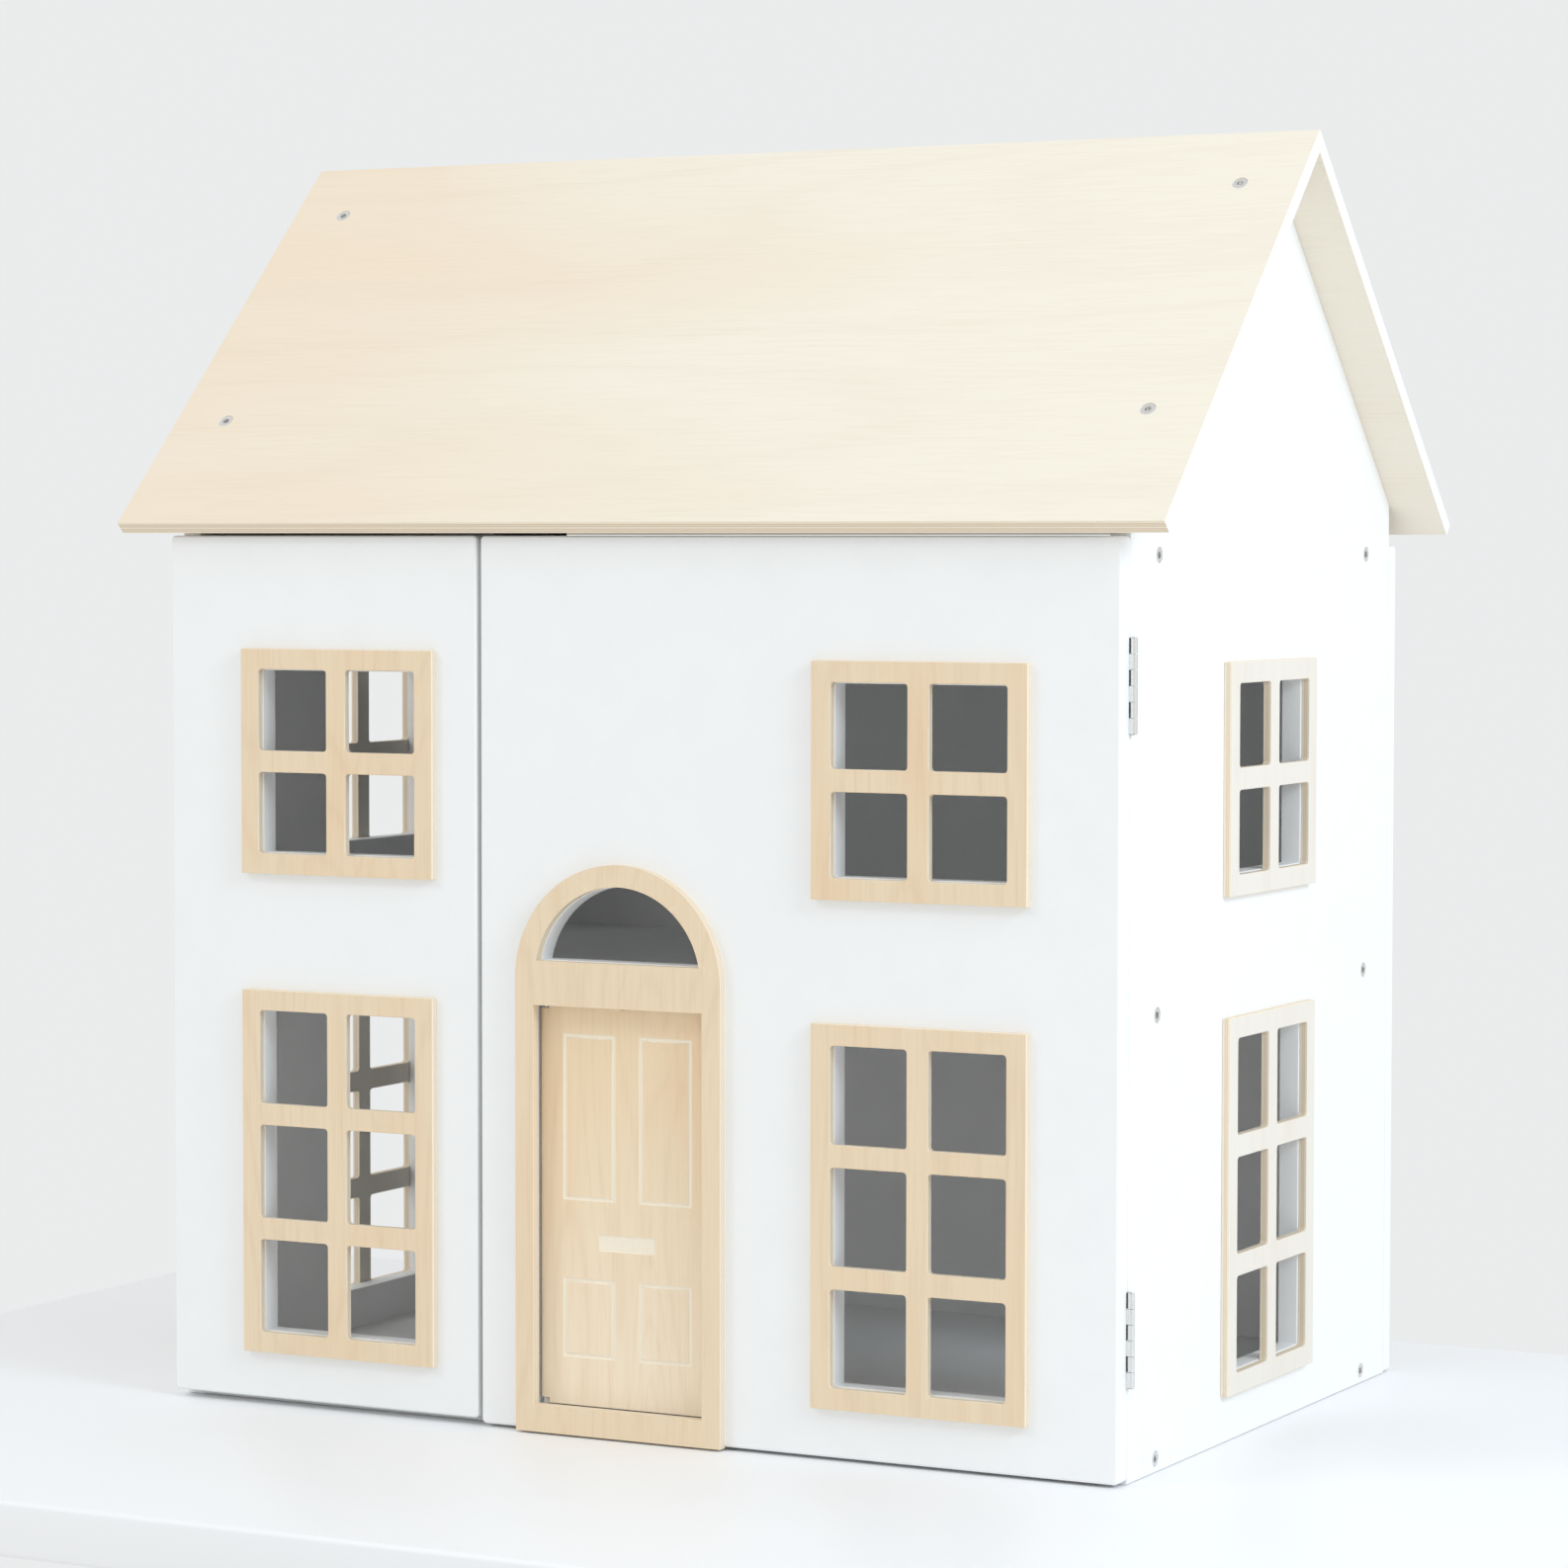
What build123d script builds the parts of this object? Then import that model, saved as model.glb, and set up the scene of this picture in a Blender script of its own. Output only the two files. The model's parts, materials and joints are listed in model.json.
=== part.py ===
from build123d import *
import math
import os

# Wooden dollhouse, about 1:12 scale, in millimetres.
# +Z is up, the front with the entrance faces -Y, and +X is to the right seen from the front.
# The origin is on the surface that the house stands on, under the middle of its roof.

# ---- carcass: overall sizes and boards ----
house_width = 600.0            # over the outer faces of the side walls
house_depth = 388.0            # front edge to rear edge of the side walls
wall_thickness = 12.0
panel_thickness = 12.0
back_thickness = 12.0
floor_thickness = 9.0
base_thickness = 15.0
middle_floor_height = 246.8    # middle of the floor board, above the table
attic_floor_height = 492.7
back_panel_above_attic = 5.3   # top of the back panel, above the middle of the attic floor

# ---- roof ----
roof_pitch = 45.0              # degrees; the two slopes meet at a right angle
roof_thickness = 9.0
roof_end_overhang = 29.5       # past the outer face of each side wall
eave_overhang = 18.3           # lower inner edge of the slope, past the edge of the side walls
eave_above_attic = 11.3        # lowest edge of the slopes, above the middle of the attic floor
roof_edge_break = 0.5

# ---- opening front ----
panel_above_attic = 10.3       # top of the narrow panel, above the middle of the attic floor
wide_panel_above_attic = 10.2  # the same for the wide panel
panel_floor_gap = 4.0          # under the narrow panel
wide_panel_drop = 2.4          # the wide panel hangs this much lower
panel_wall_gap = 0.8           # between the panels and the edges of the side walls
panel_split = -92.3            # middle of the gap between the two panels
panel_split_gap = 2.7
panel_corner_radius = 2.5
panel_edge_radius = 1.5

# ---- windows: one plywood frame over one cut-out in the board ----
frame_thickness = 5.0
frame_bar = 11.8               # outer bars of a window frame
frame_muntin = 12.8            # upright bar between the panes
frame_rail = 12.4              # level bars between the panes
pane_width = 46.1
tall_pane_height = 54.0
short_pane_height = 46.8
pane_corner_radius = 2.2
cutout_lip = 0.6               # the board shows this much inside the frame's opening
frame_edge_break = 0.4
window_side_margin = 51.3      # side of the house to the nearest front window frame
lower_window_rise = 27.2       # frame's lower edge, above the lower edge of its panel
upper_window_rise = 304.6
side_lower_window_height = 26.6
side_upper_window_height = 304.2

# ---- entrance ----
entrance_thickness = 6.0
entrance_width = 130.0
entrance_height = 320.0
entrance_below_panel = 0.6     # the frame reaches this much below the panel
doorway_width = 107.2
doorway_sill = 15.4            # above the frame's lower edge
doorway_head = 240.2
fanlight_radius = 52.8
fanlight_sill = 265.0
fanlight_lip = 0.4
entrance_corner_radius = 1.6
door_thickness = 6.0           # the door's inner face is flush with the inside of the panel
door_lap = 2.7                 # the door reaches this far behind each stile of the frame
door_below_sill = 0.5          # and this far below the doorway's sill
door_above_head = 0.3
door_end_gap = 1.0             # over and under the door, inside the panel's cut-out
door_side_gap = 1.3            # beside the door, inside the panel's cut-out
door_corner_notch = 2.9        # cut out of the two corners at the pivots
door_edge_flat = 0.01          # left between the two roundings of the pivot edge
pivot_pin_radius = 1.25
pivot_pin_clearance = 0.05
pivot_pin_depth = 9.0          # into the door and into the panel
pivot_shoulder_radius = 1.9
pivot_shoulder_gap = 0.35
stop_width = 7.5               # block that the closed door meets, under the head of the cut-out
stop_offset = 4.9              # left of the middle of the doorway
stop_drop = 1.9                # below the doorway's head
stop_gap = 0.35                # between the block and the closed door

# ---- routed lines on the door ----
groove_width = 2.4
groove_depth = 0.7
door_panel_width = 33.5
door_panel_margin = 15.4       # from the side edges of the door
upper_door_panel = (130.4, 223.8)   # lower and upper edge, above the frame's lower edge
lower_door_panel = (41.8, 86.6)
letter_slot_width = 35.5
letter_slot_height = 9.6
letter_slot_centre = 107.4     # above the frame's lower edge
letter_slot_depth = 1.0

# ---- butt hinges ----
hinge_length = 50.8
hinge_low_inset = 73.5         # middle of the lower hinge, above the foot of the narrow panel
hinge_high_inset = 79.0        # middle of the upper hinge, below the top of the narrow panel
hinge_knuckles = 6
hinge_knuckle_radius = 2.0
hinge_knuckle_gap = 0.3
hinge_leaf_width = 11.0
hinge_leaf_thickness = 1.2
hinge_wall_gap = 0.3           # between the knuckles and the face of the side wall
hinge_plate_gap = 0.2          # the plate of a leaf stops this far inside that face
hinge_pin_radius = 0.85
hinge_pin_clearance = 0.05
hinge_pin_head = 1.4
hinge_pin_head_height = 0.6
hinge_pin_head_gap = 0.15
hinge_screw_spacing = 32.0
mortise_clearance = 0.05

# ---- screws: head radius, shank radius, length, socket across flats, socket depth ----
assembly_screw = (4.5, 2.3, 38.0, 3.6, 2.0)
roof_screw = (4.5, 2.2, 32.0, 3.6, 2.0)
hinge_screw = (2.1, 1.2, 9.0, 1.6, 0.7)
plate_screw = (2.3, 1.3, 8.0, 1.7, 0.7)
screw_rim = 0.5                # straight edge of a countersunk head
screw_tip_share = 0.3          # radius of the blunt tip, as a share of the shank's
screw_clearance = 0.02
side_screw_inset = 38.4        # from the front and rear edges of the side walls
roof_screw_low = 85.0          # lower roof screws, up the slope from its lower outer edge
roof_screw_high = 43.24        # upper roof screws, down the front slope from the ridge
back_screw_inset = 60.0        # from the lower and upper edges of the back panel

# ---- magnetic catches ----
catch_width = 40.0
catch_depth = 15.0
catch_height = 10.8
catch_edge_radius = 1.0
catch_wall = 1.6
catch_foot_wall = 0.4          # under the magnet of the catch that stands on the attic floor
catch_offsets = (22.7, 21.9)   # from the split to the catch of the narrow and of the wide panel
pole_thickness = 1.2
pole_clearance = 0.05
magnet_height = 5.0
strike_width = 34.0
strike_height = 11.0
strike_thickness = 0.8
strike_gap = 0.35              # between a closed strike plate and its catch
narrow_strike_top = 15.2       # below the top of its panel
wide_strike_top = 3.2
cutter_overshoot = 1.0         # how far a cutting shape runs past the face that it opens

half_width = house_width / 2
half_depth = house_depth / 2
room_half_width = half_width - wall_thickness
panel_back = -half_depth - panel_wall_gap
panel_front = panel_back - panel_thickness
narrow_panel_top = attic_floor_height + panel_above_attic
back_panel_height = attic_floor_height + back_panel_above_attic
wide_panel_bottom = panel_floor_gap - wide_panel_drop
wide_panel_top = attic_floor_height + wide_panel_above_attic
hinge_y = -half_depth - panel_wall_gap / 2
hinge_x = half_width + hinge_knuckle_radius + hinge_wall_gap
hinge_heights = (panel_floor_gap + hinge_low_inset, narrow_panel_top - hinge_high_inset)
slope_sin = math.sin(math.radians(roof_pitch))
slope_cos = math.cos(math.radians(roof_pitch))
eave_y = half_depth + eave_overhang
eave_height = attic_floor_height + eave_above_attic
inner_ridge = eave_height + eave_y * math.tan(math.radians(roof_pitch))
slope_length = eave_y / slope_cos + roof_thickness
outer_eave_y = eave_y + roof_thickness * slope_sin
outer_eave_z = eave_height + roof_thickness * slope_cos
roof_half_length = half_width + roof_end_overhang
roof_screw_reach = (roof_screw_low, slope_length - roof_screw_high)
side_screw_offset = half_depth - side_screw_inset
back_screw_heights = (back_screw_inset, back_panel_height / 2, back_panel_height - back_screw_inset)
window_width = 2 * frame_bar + 2 * pane_width + frame_muntin
window_centre = half_width - window_side_margin - window_width / 2
entrance_bottom = wide_panel_bottom - entrance_below_panel
arch_centre = entrance_bottom + entrance_height - entrance_width / 2
door_half_width = doorway_width / 2 + door_lap
door_low = entrance_bottom + doorway_sill - door_below_sill
door_top = entrance_bottom + doorway_head + door_above_head
door_front = panel_back - door_thickness
cutout_low = door_low - door_end_gap
cutout_top = door_top + door_end_gap
pivot_x = -door_half_width + door_thickness / 2
pivot_y = door_front + door_thickness / 2


# ---- working planes: local X runs along the face, local Y up it, local Z out of it ----
def front_plane(y):
    return Plane(origin=(0, y, 0), x_dir=(1, 0, 0), z_dir=(0, -1, 0))


def back_plane(y):
    return Plane(origin=(0, y, 0), x_dir=(-1, 0, 0), z_dir=(0, 1, 0))


def side_plane(side, x):
    return Plane(origin=(side * x, 0, 0), x_dir=(0, side, 0), z_dir=(side, 0, 0))


def slope_plane(side):
    """Outer face of a roof slope, from its lower edge; side is -1 at the front and 1 at the rear."""
    return Plane(
        origin=(0, side * outer_eave_y, outer_eave_z),
        x_dir=(-side, 0, 0),
        z_dir=(0, side * slope_sin, slope_cos),
    )


def block(x_range, y_range, z_range):
    size = [high - low for low, high in (x_range, y_range, z_range)]
    centre = [(low + high) / 2 for low, high in (x_range, y_range, z_range)]
    return Pos(*centre) * Box(*size)


def rounded_slab(x_range, y_range, thickness, radius):
    """A slab with rounded corners, its outer face at local Z 0."""
    width = x_range[1] - x_range[0]
    height = y_range[1] - y_range[0]
    outline = Pos((x_range[0] + x_range[1]) / 2, (y_range[0] + y_range[1]) / 2) * RectangleRounded(
        width, height, radius
    )
    return extrude(outline, amount=-thickness)


def soften_outer_edges(slab, radius):
    outer_face = slab.faces().sort_by(Axis.Z)[-1]
    return fillet(outer_face.outer_wire().edges(), radius)


def break_edges(slab, size):
    faces = slab.faces().sort_by(Axis.Z)
    return chamfer(faces[-1].outer_wire().edges(), size)


# ---- screws ----
def screw_blank(kind, extra):
    head, shank, length, socket, depth = kind
    rim = Cylinder(head + extra, screw_rim, align=(Align.CENTER, Align.CENTER, Align.MAX))
    cone_height = head - shank
    cone = Pos(0, 0, -screw_rim) * Cone(
        shank + extra, head + extra, cone_height, align=(Align.CENTER, Align.CENTER, Align.MAX)
    )
    shaft = Pos(0, 0, -screw_rim - cone_height) * Cylinder(
        shank + extra, length - cone_height - shank, align=(Align.CENTER, Align.CENTER, Align.MAX)
    )
    tip = Pos(0, 0, -screw_rim - length + shank) * Cone(
        shank * screw_tip_share + extra, shank + extra, shank, align=(Align.CENTER, Align.CENTER, Align.MAX)
    )
    return rim + cone + shaft + tip


def screw(kind):
    socket = extrude(RegularPolygon(kind[3] / 2, 6, major_radius=False), amount=-kind[4])
    return screw_blank(kind, 0.0) - socket


def screws_at(kind, places):
    return [place * screw(kind) for place in places]


def drill(board, kind, places):
    for place in places:
        board = board - place * screw_blank(kind, screw_clearance)
    return board


def side_screw_places(side):
    heights = (base_thickness / 2, middle_floor_height, attic_floor_height)
    plane = side_plane(side, half_width)
    return [
        plane * Pos(along, height, 0)
        for height in heights
        for along in (-side_screw_offset, side_screw_offset)
    ]


def roof_screw_places(side):
    plane = slope_plane(side)
    wall_middle = half_width - wall_thickness / 2
    return [plane * Pos(x, reach, 0) for x in (-wall_middle, wall_middle) for reach in roof_screw_reach]


def back_screw_places():
    plane = back_plane(half_depth + back_thickness)
    wall_middle = half_width - wall_thickness / 2
    return [plane * Pos(x, z, 0) for x in (-wall_middle, wall_middle) for z in back_screw_heights]


# ---- windows ----
def pane_heights(rows):
    return tall_pane_height if rows == 3 else short_pane_height


def window_height(rows):
    return 2 * frame_bar + rows * pane_heights(rows) + (rows - 1) * frame_rail


def window_frame(rows, centre, bottom):
    """A plywood window frame standing on local Z 0, two panes wide."""
    height = window_height(rows)
    outline = Pos(centre, bottom + height / 2) * Rectangle(window_width, height)
    frame = extrude(outline, amount=frame_thickness)
    frame = break_edges(frame, frame_edge_break)
    pane_step = pane_width + frame_muntin
    row_step = pane_heights(rows) + frame_rail
    for column in (-0.5, 0.5):
        for row in range(rows):
            pane = Pos(
                centre + column * pane_step,
                bottom + frame_bar + pane_heights(rows) / 2 + row * row_step,
            ) * RectangleRounded(pane_width, pane_heights(rows), pane_corner_radius)
            frame = frame - extrude(pane, amount=frame_thickness)
    return frame


def window_cutout(rows, centre, bottom, thickness):
    """The single rectangular hole in the board behind a window frame."""
    width = window_width - 2 * (frame_bar + cutout_lip)
    height = window_height(rows) - 2 * (frame_bar + cutout_lip)
    hole = Pos(centre, bottom + window_height(rows) / 2) * Rectangle(width, height)
    return extrude(hole, amount=-thickness)


def panel_windows(centre, panel_bottom):
    return {
        "lower": (3, centre, panel_bottom + lower_window_rise),
        "upper": (2, centre, panel_bottom + upper_window_rise),
    }


side_windows = {
    "lower": (3, 0.0, side_lower_window_height),
    "upper": (2, 0.0, side_upper_window_height),
}


# ---- hinges ----
def knuckle_span(index):
    """Lower and upper end of one knuckle, from the lower end of the hinge."""
    pitch = hinge_length / hinge_knuckles
    return index * pitch + hinge_knuckle_gap / 2, (index + 1) * pitch - hinge_knuckle_gap / 2


def hinge_leaf(side, height, on_panel):
    """One leaf with every second knuckle, mortised into the panel or into the side wall's edge."""
    bottom = height - hinge_length / 2
    turn = -1 if on_panel else 1
    face = hinge_y + turn * panel_wall_gap / 2
    y_range = sorted((face, face + turn * hinge_leaf_thickness))
    plate_edge = half_width - hinge_plate_gap
    x_range = sorted((side * (half_width - hinge_leaf_width), side * plate_edge))
    leaf = block(x_range, y_range, (bottom, bottom + hinge_length))
    tabs = sorted((side * plate_edge, side * hinge_x))
    for index in range(0 if on_panel else 1, hinge_knuckles, 2):
        low, high = knuckle_span(index)
        span = (bottom + low, bottom + high)
        barrel = Pos(side * hinge_x, hinge_y, bottom + (low + high) / 2) * Cylinder(
            hinge_knuckle_radius, high - low
        )
        leaf = leaf + block(tabs, y_range, span) + barrel
    return leaf - hinge_bore(side, height)


def hinge_bore(side, height):
    return Pos(side * hinge_x, hinge_y, height) * Cylinder(
        hinge_pin_radius + hinge_pin_clearance, hinge_length + 2 * cutter_overshoot
    )


def hinge_pin(side, height):
    pin_length = hinge_length - hinge_knuckle_gap + 2 * hinge_pin_head_gap
    pin = Cylinder(hinge_pin_radius, pin_length)
    for end in (-1, 1):
        head = Pos(0, 0, end * (pin_length + hinge_pin_head_height) / 2) * Cylinder(
            hinge_pin_head, hinge_pin_head_height
        )
        pin = pin + head
    return Pos(side * hinge_x, hinge_y, height) * pin


def hinge_mortise(side, height, on_panel):
    bottom = height - hinge_length / 2 - mortise_clearance
    turn = -1 if on_panel else 1
    face = hinge_y + turn * (panel_wall_gap / 2 - cutter_overshoot)
    floor = hinge_y + turn * (panel_wall_gap / 2 + hinge_leaf_thickness + mortise_clearance)
    inner = side * (half_width - hinge_leaf_width - mortise_clearance)
    x_range = sorted((inner, side * (half_width + cutter_overshoot)))
    top = height + hinge_length / 2 + mortise_clearance
    return block(x_range, sorted((face, floor)), (bottom, top))


def hinge_screw_places(side, on_panel):
    """Screws through the leaves, with their heads flush in the gap between panel and wall."""
    turn = -1 if on_panel else 1
    face = hinge_y + turn * panel_wall_gap / 2
    plane = back_plane(face) if on_panel else front_plane(face)
    local_x = side * (half_width - wall_thickness / 2) * (-1 if on_panel else 1)
    return [
        plane * Pos(local_x, height + shift, 0)
        for height in hinge_heights
        for shift in (-hinge_screw_spacing / 2, hinge_screw_spacing / 2)
    ]


def hinge_leaves(side, on_panel):
    leaves = []
    for height in hinge_heights:
        leaf = hinge_leaf(side, height, on_panel)
        leaves.append(drill(leaf, hinge_screw, hinge_screw_places(side, on_panel)))
    return leaves


# ---- carcass ----
def side_wall(side):
    wall_top = eave_height + eave_overhang * math.tan(math.radians(roof_pitch))
    outline = Polyline(
        (-half_depth, 0),
        (half_depth, 0),
        (half_depth, wall_top),
        (0, inner_ridge),
        (-half_depth, wall_top),
        close=True,
    )
    wall = side_plane(side, half_width) * extrude(make_face(outline), amount=-wall_thickness)
    for rows, centre, bottom in side_windows.values():
        hole = window_cutout(rows, centre, bottom, wall_thickness)
        wall = wall - side_plane(side, half_width) * hole
    for height in hinge_heights:
        wall = wall - hinge_mortise(side, height, on_panel=False)
    wall = drill(wall, assembly_screw, side_screw_places(side))
    wall = drill(wall, assembly_screw, back_screw_places())
    wall = drill(wall, hinge_screw, hinge_screw_places(side, on_panel=False))
    for slope in (-1, 1):
        wall = drill(wall, roof_screw, roof_screw_places(slope))
    return wall


def floor_board(bottom, thickness):
    board = block(
        (-room_half_width, room_half_width), (-half_depth, half_depth), (bottom, bottom + thickness)
    )
    for side in (-1, 1):
        board = drill(board, assembly_screw, side_screw_places(side))
    return board


def back_panel():
    plane = back_plane(half_depth + back_thickness)
    x_range = (-half_width, half_width)
    panel = rounded_slab(x_range, (0, back_panel_height), back_thickness, panel_corner_radius)
    panel = plane * soften_outer_edges(panel, panel_edge_radius)
    return drill(panel, assembly_screw, back_screw_places())


def roof_slope(side):
    """The front slope runs over the end of the rear slope at the ridge."""
    length = slope_length if side < 0 else slope_length - roof_thickness
    outline = Pos(0, length / 2) * Rectangle(2 * roof_half_length, length)
    slab = extrude(outline, amount=-roof_thickness)
    lower_edges = slab.edges().filter_by(Axis.X).group_by(Axis.Y)[0]
    slab = chamfer(lower_edges, roof_edge_break)
    slab = slope_plane(side) * slab
    return drill(slab, roof_screw, roof_screw_places(side))


# ---- opening front ----
def front_panel(side):
    bottom = panel_floor_gap if side < 0 else wide_panel_bottom
    top = narrow_panel_top if side < 0 else wide_panel_top
    inner = panel_split + side * panel_split_gap / 2
    x_range = sorted((inner, side * half_width))
    slab = rounded_slab(x_range, (bottom, top), panel_thickness, panel_corner_radius)
    slab = soften_outer_edges(slab, panel_edge_radius)
    for rows, centre, low in panel_windows(side * window_centre, bottom).values():
        slab = slab - window_cutout(rows, centre, low, panel_thickness)
    panel = front_plane(panel_front) * slab
    for height in hinge_heights:
        panel = panel - hinge_mortise(side, height, on_panel=True)
    panel = drill(panel, hinge_screw, hinge_screw_places(side, on_panel=True))
    panel = panel - strike_pocket(side)
    return drill(panel, plate_screw, strike_screw_places(side))


def wide_panel():
    return front_panel(1) - fanlight_hole() - doorway_hole() - pivot_holes()


# ---- entrance ----
def fanlight_outline(radius, sill):
    """The upper part of a round window, cut off level at its sill."""
    disc = Pos(0, arch_centre) * Circle(radius)
    cover = Pos(0, sill - entrance_height / 2) * Rectangle(entrance_width, entrance_height)
    return disc - cover


def fanlight_hole():
    outline = fanlight_outline(fanlight_radius - fanlight_lip, entrance_bottom + fanlight_sill + fanlight_lip)
    return front_plane(panel_front) * extrude(outline, amount=-panel_thickness)


def doorway_hole():
    """The cut-out in the wide panel that the entrance door swings through."""
    return block(
        (-door_half_width - door_side_gap, door_half_width + door_side_gap),
        (panel_front - cutter_overshoot, panel_back + cutter_overshoot),
        (cutout_low, cutout_top),
    )


def entrance_frame():
    half = entrance_width / 2
    outline = make_face(
        [
            Line((-half, entrance_bottom), (half, entrance_bottom)),
            Line((half, entrance_bottom), (half, arch_centre)),
            CenterArc((0, arch_centre), half, 0, 180),
            Line((-half, arch_centre), (-half, entrance_bottom)),
        ]
    )
    frame = extrude(outline, amount=entrance_thickness)
    feet = frame.edges().filter_by(Axis.Z).group_by(Axis.Y)[0]
    frame = fillet(feet, entrance_corner_radius)
    frame = break_edges(frame, frame_edge_break)
    doorway = Pos(0, entrance_bottom + (doorway_sill + doorway_head) / 2) * Rectangle(
        doorway_width, doorway_head - doorway_sill
    )
    frame = frame - extrude(doorway, amount=entrance_thickness)
    fanlight = fanlight_outline(fanlight_radius, entrance_bottom + fanlight_sill)
    frame = frame - extrude(fanlight, amount=entrance_thickness)
    return front_plane(panel_front) * frame


def routed_ring(x_range, z_range):
    width = x_range[1] - x_range[0]
    height = z_range[1] - z_range[0]
    outer = Rectangle(width, height)
    inner = Rectangle(width - 2 * groove_width, height - 2 * groove_width)
    middle = Pos((x_range[0] + x_range[1]) / 2, (z_range[0] + z_range[1]) / 2)
    return middle * extrude(outer - inner, amount=-groove_depth)


def entrance_door():
    """The door, rounded along its pivot edge, with four routed panels and a letter slot."""
    outline = Pos(0, pivot_y) * Rectangle(2 * door_half_width, door_thickness)
    door = Pos(0, 0, door_low) * extrude(outline, amount=door_top - door_low)
    pivot_edges = door.edges().filter_by(Axis.Z).group_by(Axis.X)[0]
    door = fillet(pivot_edges, door_thickness / 2 - door_edge_flat)
    carving = front_plane(door_front)
    near_edge = door_half_width - door_panel_margin
    for column in ((-near_edge, door_panel_width - near_edge), (near_edge - door_panel_width, near_edge)):
        for low, high in (upper_door_panel, lower_door_panel):
            ring = routed_ring(column, (entrance_bottom + low, entrance_bottom + high))
            door = door - carving * ring
    slot = Pos(0, entrance_bottom + letter_slot_centre) * RectangleRounded(
        letter_slot_width, letter_slot_height, groove_width / 2
    )
    door = door - carving * extrude(slot, amount=-letter_slot_depth)
    for height in (door_low, door_top):
        notch = Pos(-door_half_width, pivot_y, height) * Box(
            2 * door_thickness, 2 * door_thickness, 2 * door_corner_notch
        )
        bore_depth = door_corner_notch + pivot_pin_depth + cutter_overshoot
        bore = Pos(pivot_x, pivot_y, height) * Cylinder(
            pivot_pin_radius + pivot_pin_clearance, 2 * bore_depth
        )
        door = door - notch - bore
    return door


def pivot_pin(end):
    """A pin with a shoulder; end is -1 at the foot of the door and 1 at its head."""
    seat = cutout_low if end < 0 else cutout_top
    door_face = (door_low if end < 0 else door_top) - end * door_corner_notch
    shoulder_end = door_face + end * pivot_shoulder_gap
    shoulder = Pos(pivot_x, pivot_y, (seat + shoulder_end) / 2) * Cylinder(
        pivot_shoulder_radius, abs(seat - shoulder_end)
    )
    low, high = sorted((seat + end * pivot_pin_depth, door_face - end * pivot_pin_depth))
    pin = Pos(pivot_x, pivot_y, (low + high) / 2) * Cylinder(pivot_pin_radius, high - low)
    return pin + shoulder


def pivot_holes():
    radius = pivot_pin_radius + screw_clearance
    length = 2 * (pivot_pin_depth + screw_clearance)
    return [Pos(pivot_x, pivot_y, seat) * Cylinder(radius, length) for seat in (cutout_low, cutout_top)]


def door_stop():
    """A small block behind the frame's head that the door closes against."""
    head = entrance_bottom + doorway_head
    return block(
        (-stop_offset - stop_width / 2, -stop_offset + stop_width / 2),
        (panel_front, door_front - stop_gap),
        (head - stop_drop, cutout_top),
    )


# ---- magnetic catches ----
def catch_height_range(side):
    """The narrow panel's catch hangs under the attic floor; the wide panel's stands on it."""
    if side < 0:
        top = attic_floor_height - floor_thickness / 2
        return top - catch_height, top
    bottom = attic_floor_height + floor_thickness / 2
    return bottom, bottom + catch_height


def catch_centre(side):
    return panel_split + side * catch_offsets[0 if side < 0 else 1]


def magnet_range(side):
    """Height of the magnet and its pole plates: near the attic floor, where the strike plate reaches."""
    low, high = catch_height_range(side)
    if side < 0:
        return high - catch_wall - magnet_height, high - catch_wall
    return low + catch_foot_wall, low + catch_foot_wall + magnet_height


def catch_pocket(side, extra):
    low, high = magnet_range(side)
    half = catch_width / 2 - catch_wall
    centre = catch_centre(side)
    return block(
        (centre - half - extra, centre + half + extra),
        (-half_depth - cutter_overshoot, -half_depth + catch_depth - catch_wall + extra),
        (low - extra, high + extra),
    )


def catch_housing(side):
    low, high = catch_height_range(side)
    centre = catch_centre(side)
    housing = block(
        (centre - catch_width / 2, centre + catch_width / 2),
        (-half_depth, -half_depth + catch_depth),
        (low, high),
    )
    housing = fillet(housing.edges().filter_by(Axis.Z), catch_edge_radius)
    return housing - catch_pocket(side, pole_clearance)


def catch_magnet(side):
    """A block magnet between two steel pole plates whose ends reach the front of the housing."""
    low, high = magnet_range(side)
    half = catch_width / 2 - catch_wall
    centre = catch_centre(side)
    back = -half_depth + catch_depth - catch_wall
    pieces = block((centre - half, centre + half), (-half_depth + pole_thickness, back), (low, high))
    for plate in ((low, low + pole_thickness), (high - pole_thickness, high)):
        pieces = pieces + block((centre - half, centre + half), (-half_depth, back), plate)
    return pieces


def strike_top(side):
    if side < 0:
        return narrow_panel_top - narrow_strike_top
    return wide_panel_top - wide_strike_top


def strike_block(side, extra, front, back):
    centre = catch_centre(side)
    half = strike_width / 2 + extra
    top = strike_top(side)
    return block((centre - half, centre + half), (front, back), (top - strike_height - extra, top + extra))


def strike_face():
    """Face of a strike plate, which stands out of the panel towards its catch."""
    return -half_depth - strike_gap


def strike_pocket(side):
    floor = strike_face() - strike_thickness - mortise_clearance
    return strike_block(side, mortise_clearance, floor, panel_back + cutter_overshoot)


def strike_screw_places(side):
    plane = back_plane(strike_face())
    centre = catch_centre(side)
    middle = strike_top(side) - strike_height / 2
    return [plane * Pos(-(centre + shift), middle, 0) for shift in (-strike_width / 3, strike_width / 3)]


def strike_plate(side):
    plate = strike_block(side, 0.0, strike_face() - strike_thickness, strike_face())
    return drill(plate, plate_screw, strike_screw_places(side))


# ---- nodes ----
def save(node, solids):
    shape = Compound(children=list(solids)) if isinstance(solids, (list, tuple)) else solids
    export_step(shape, f"parts/{node}.step")


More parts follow.
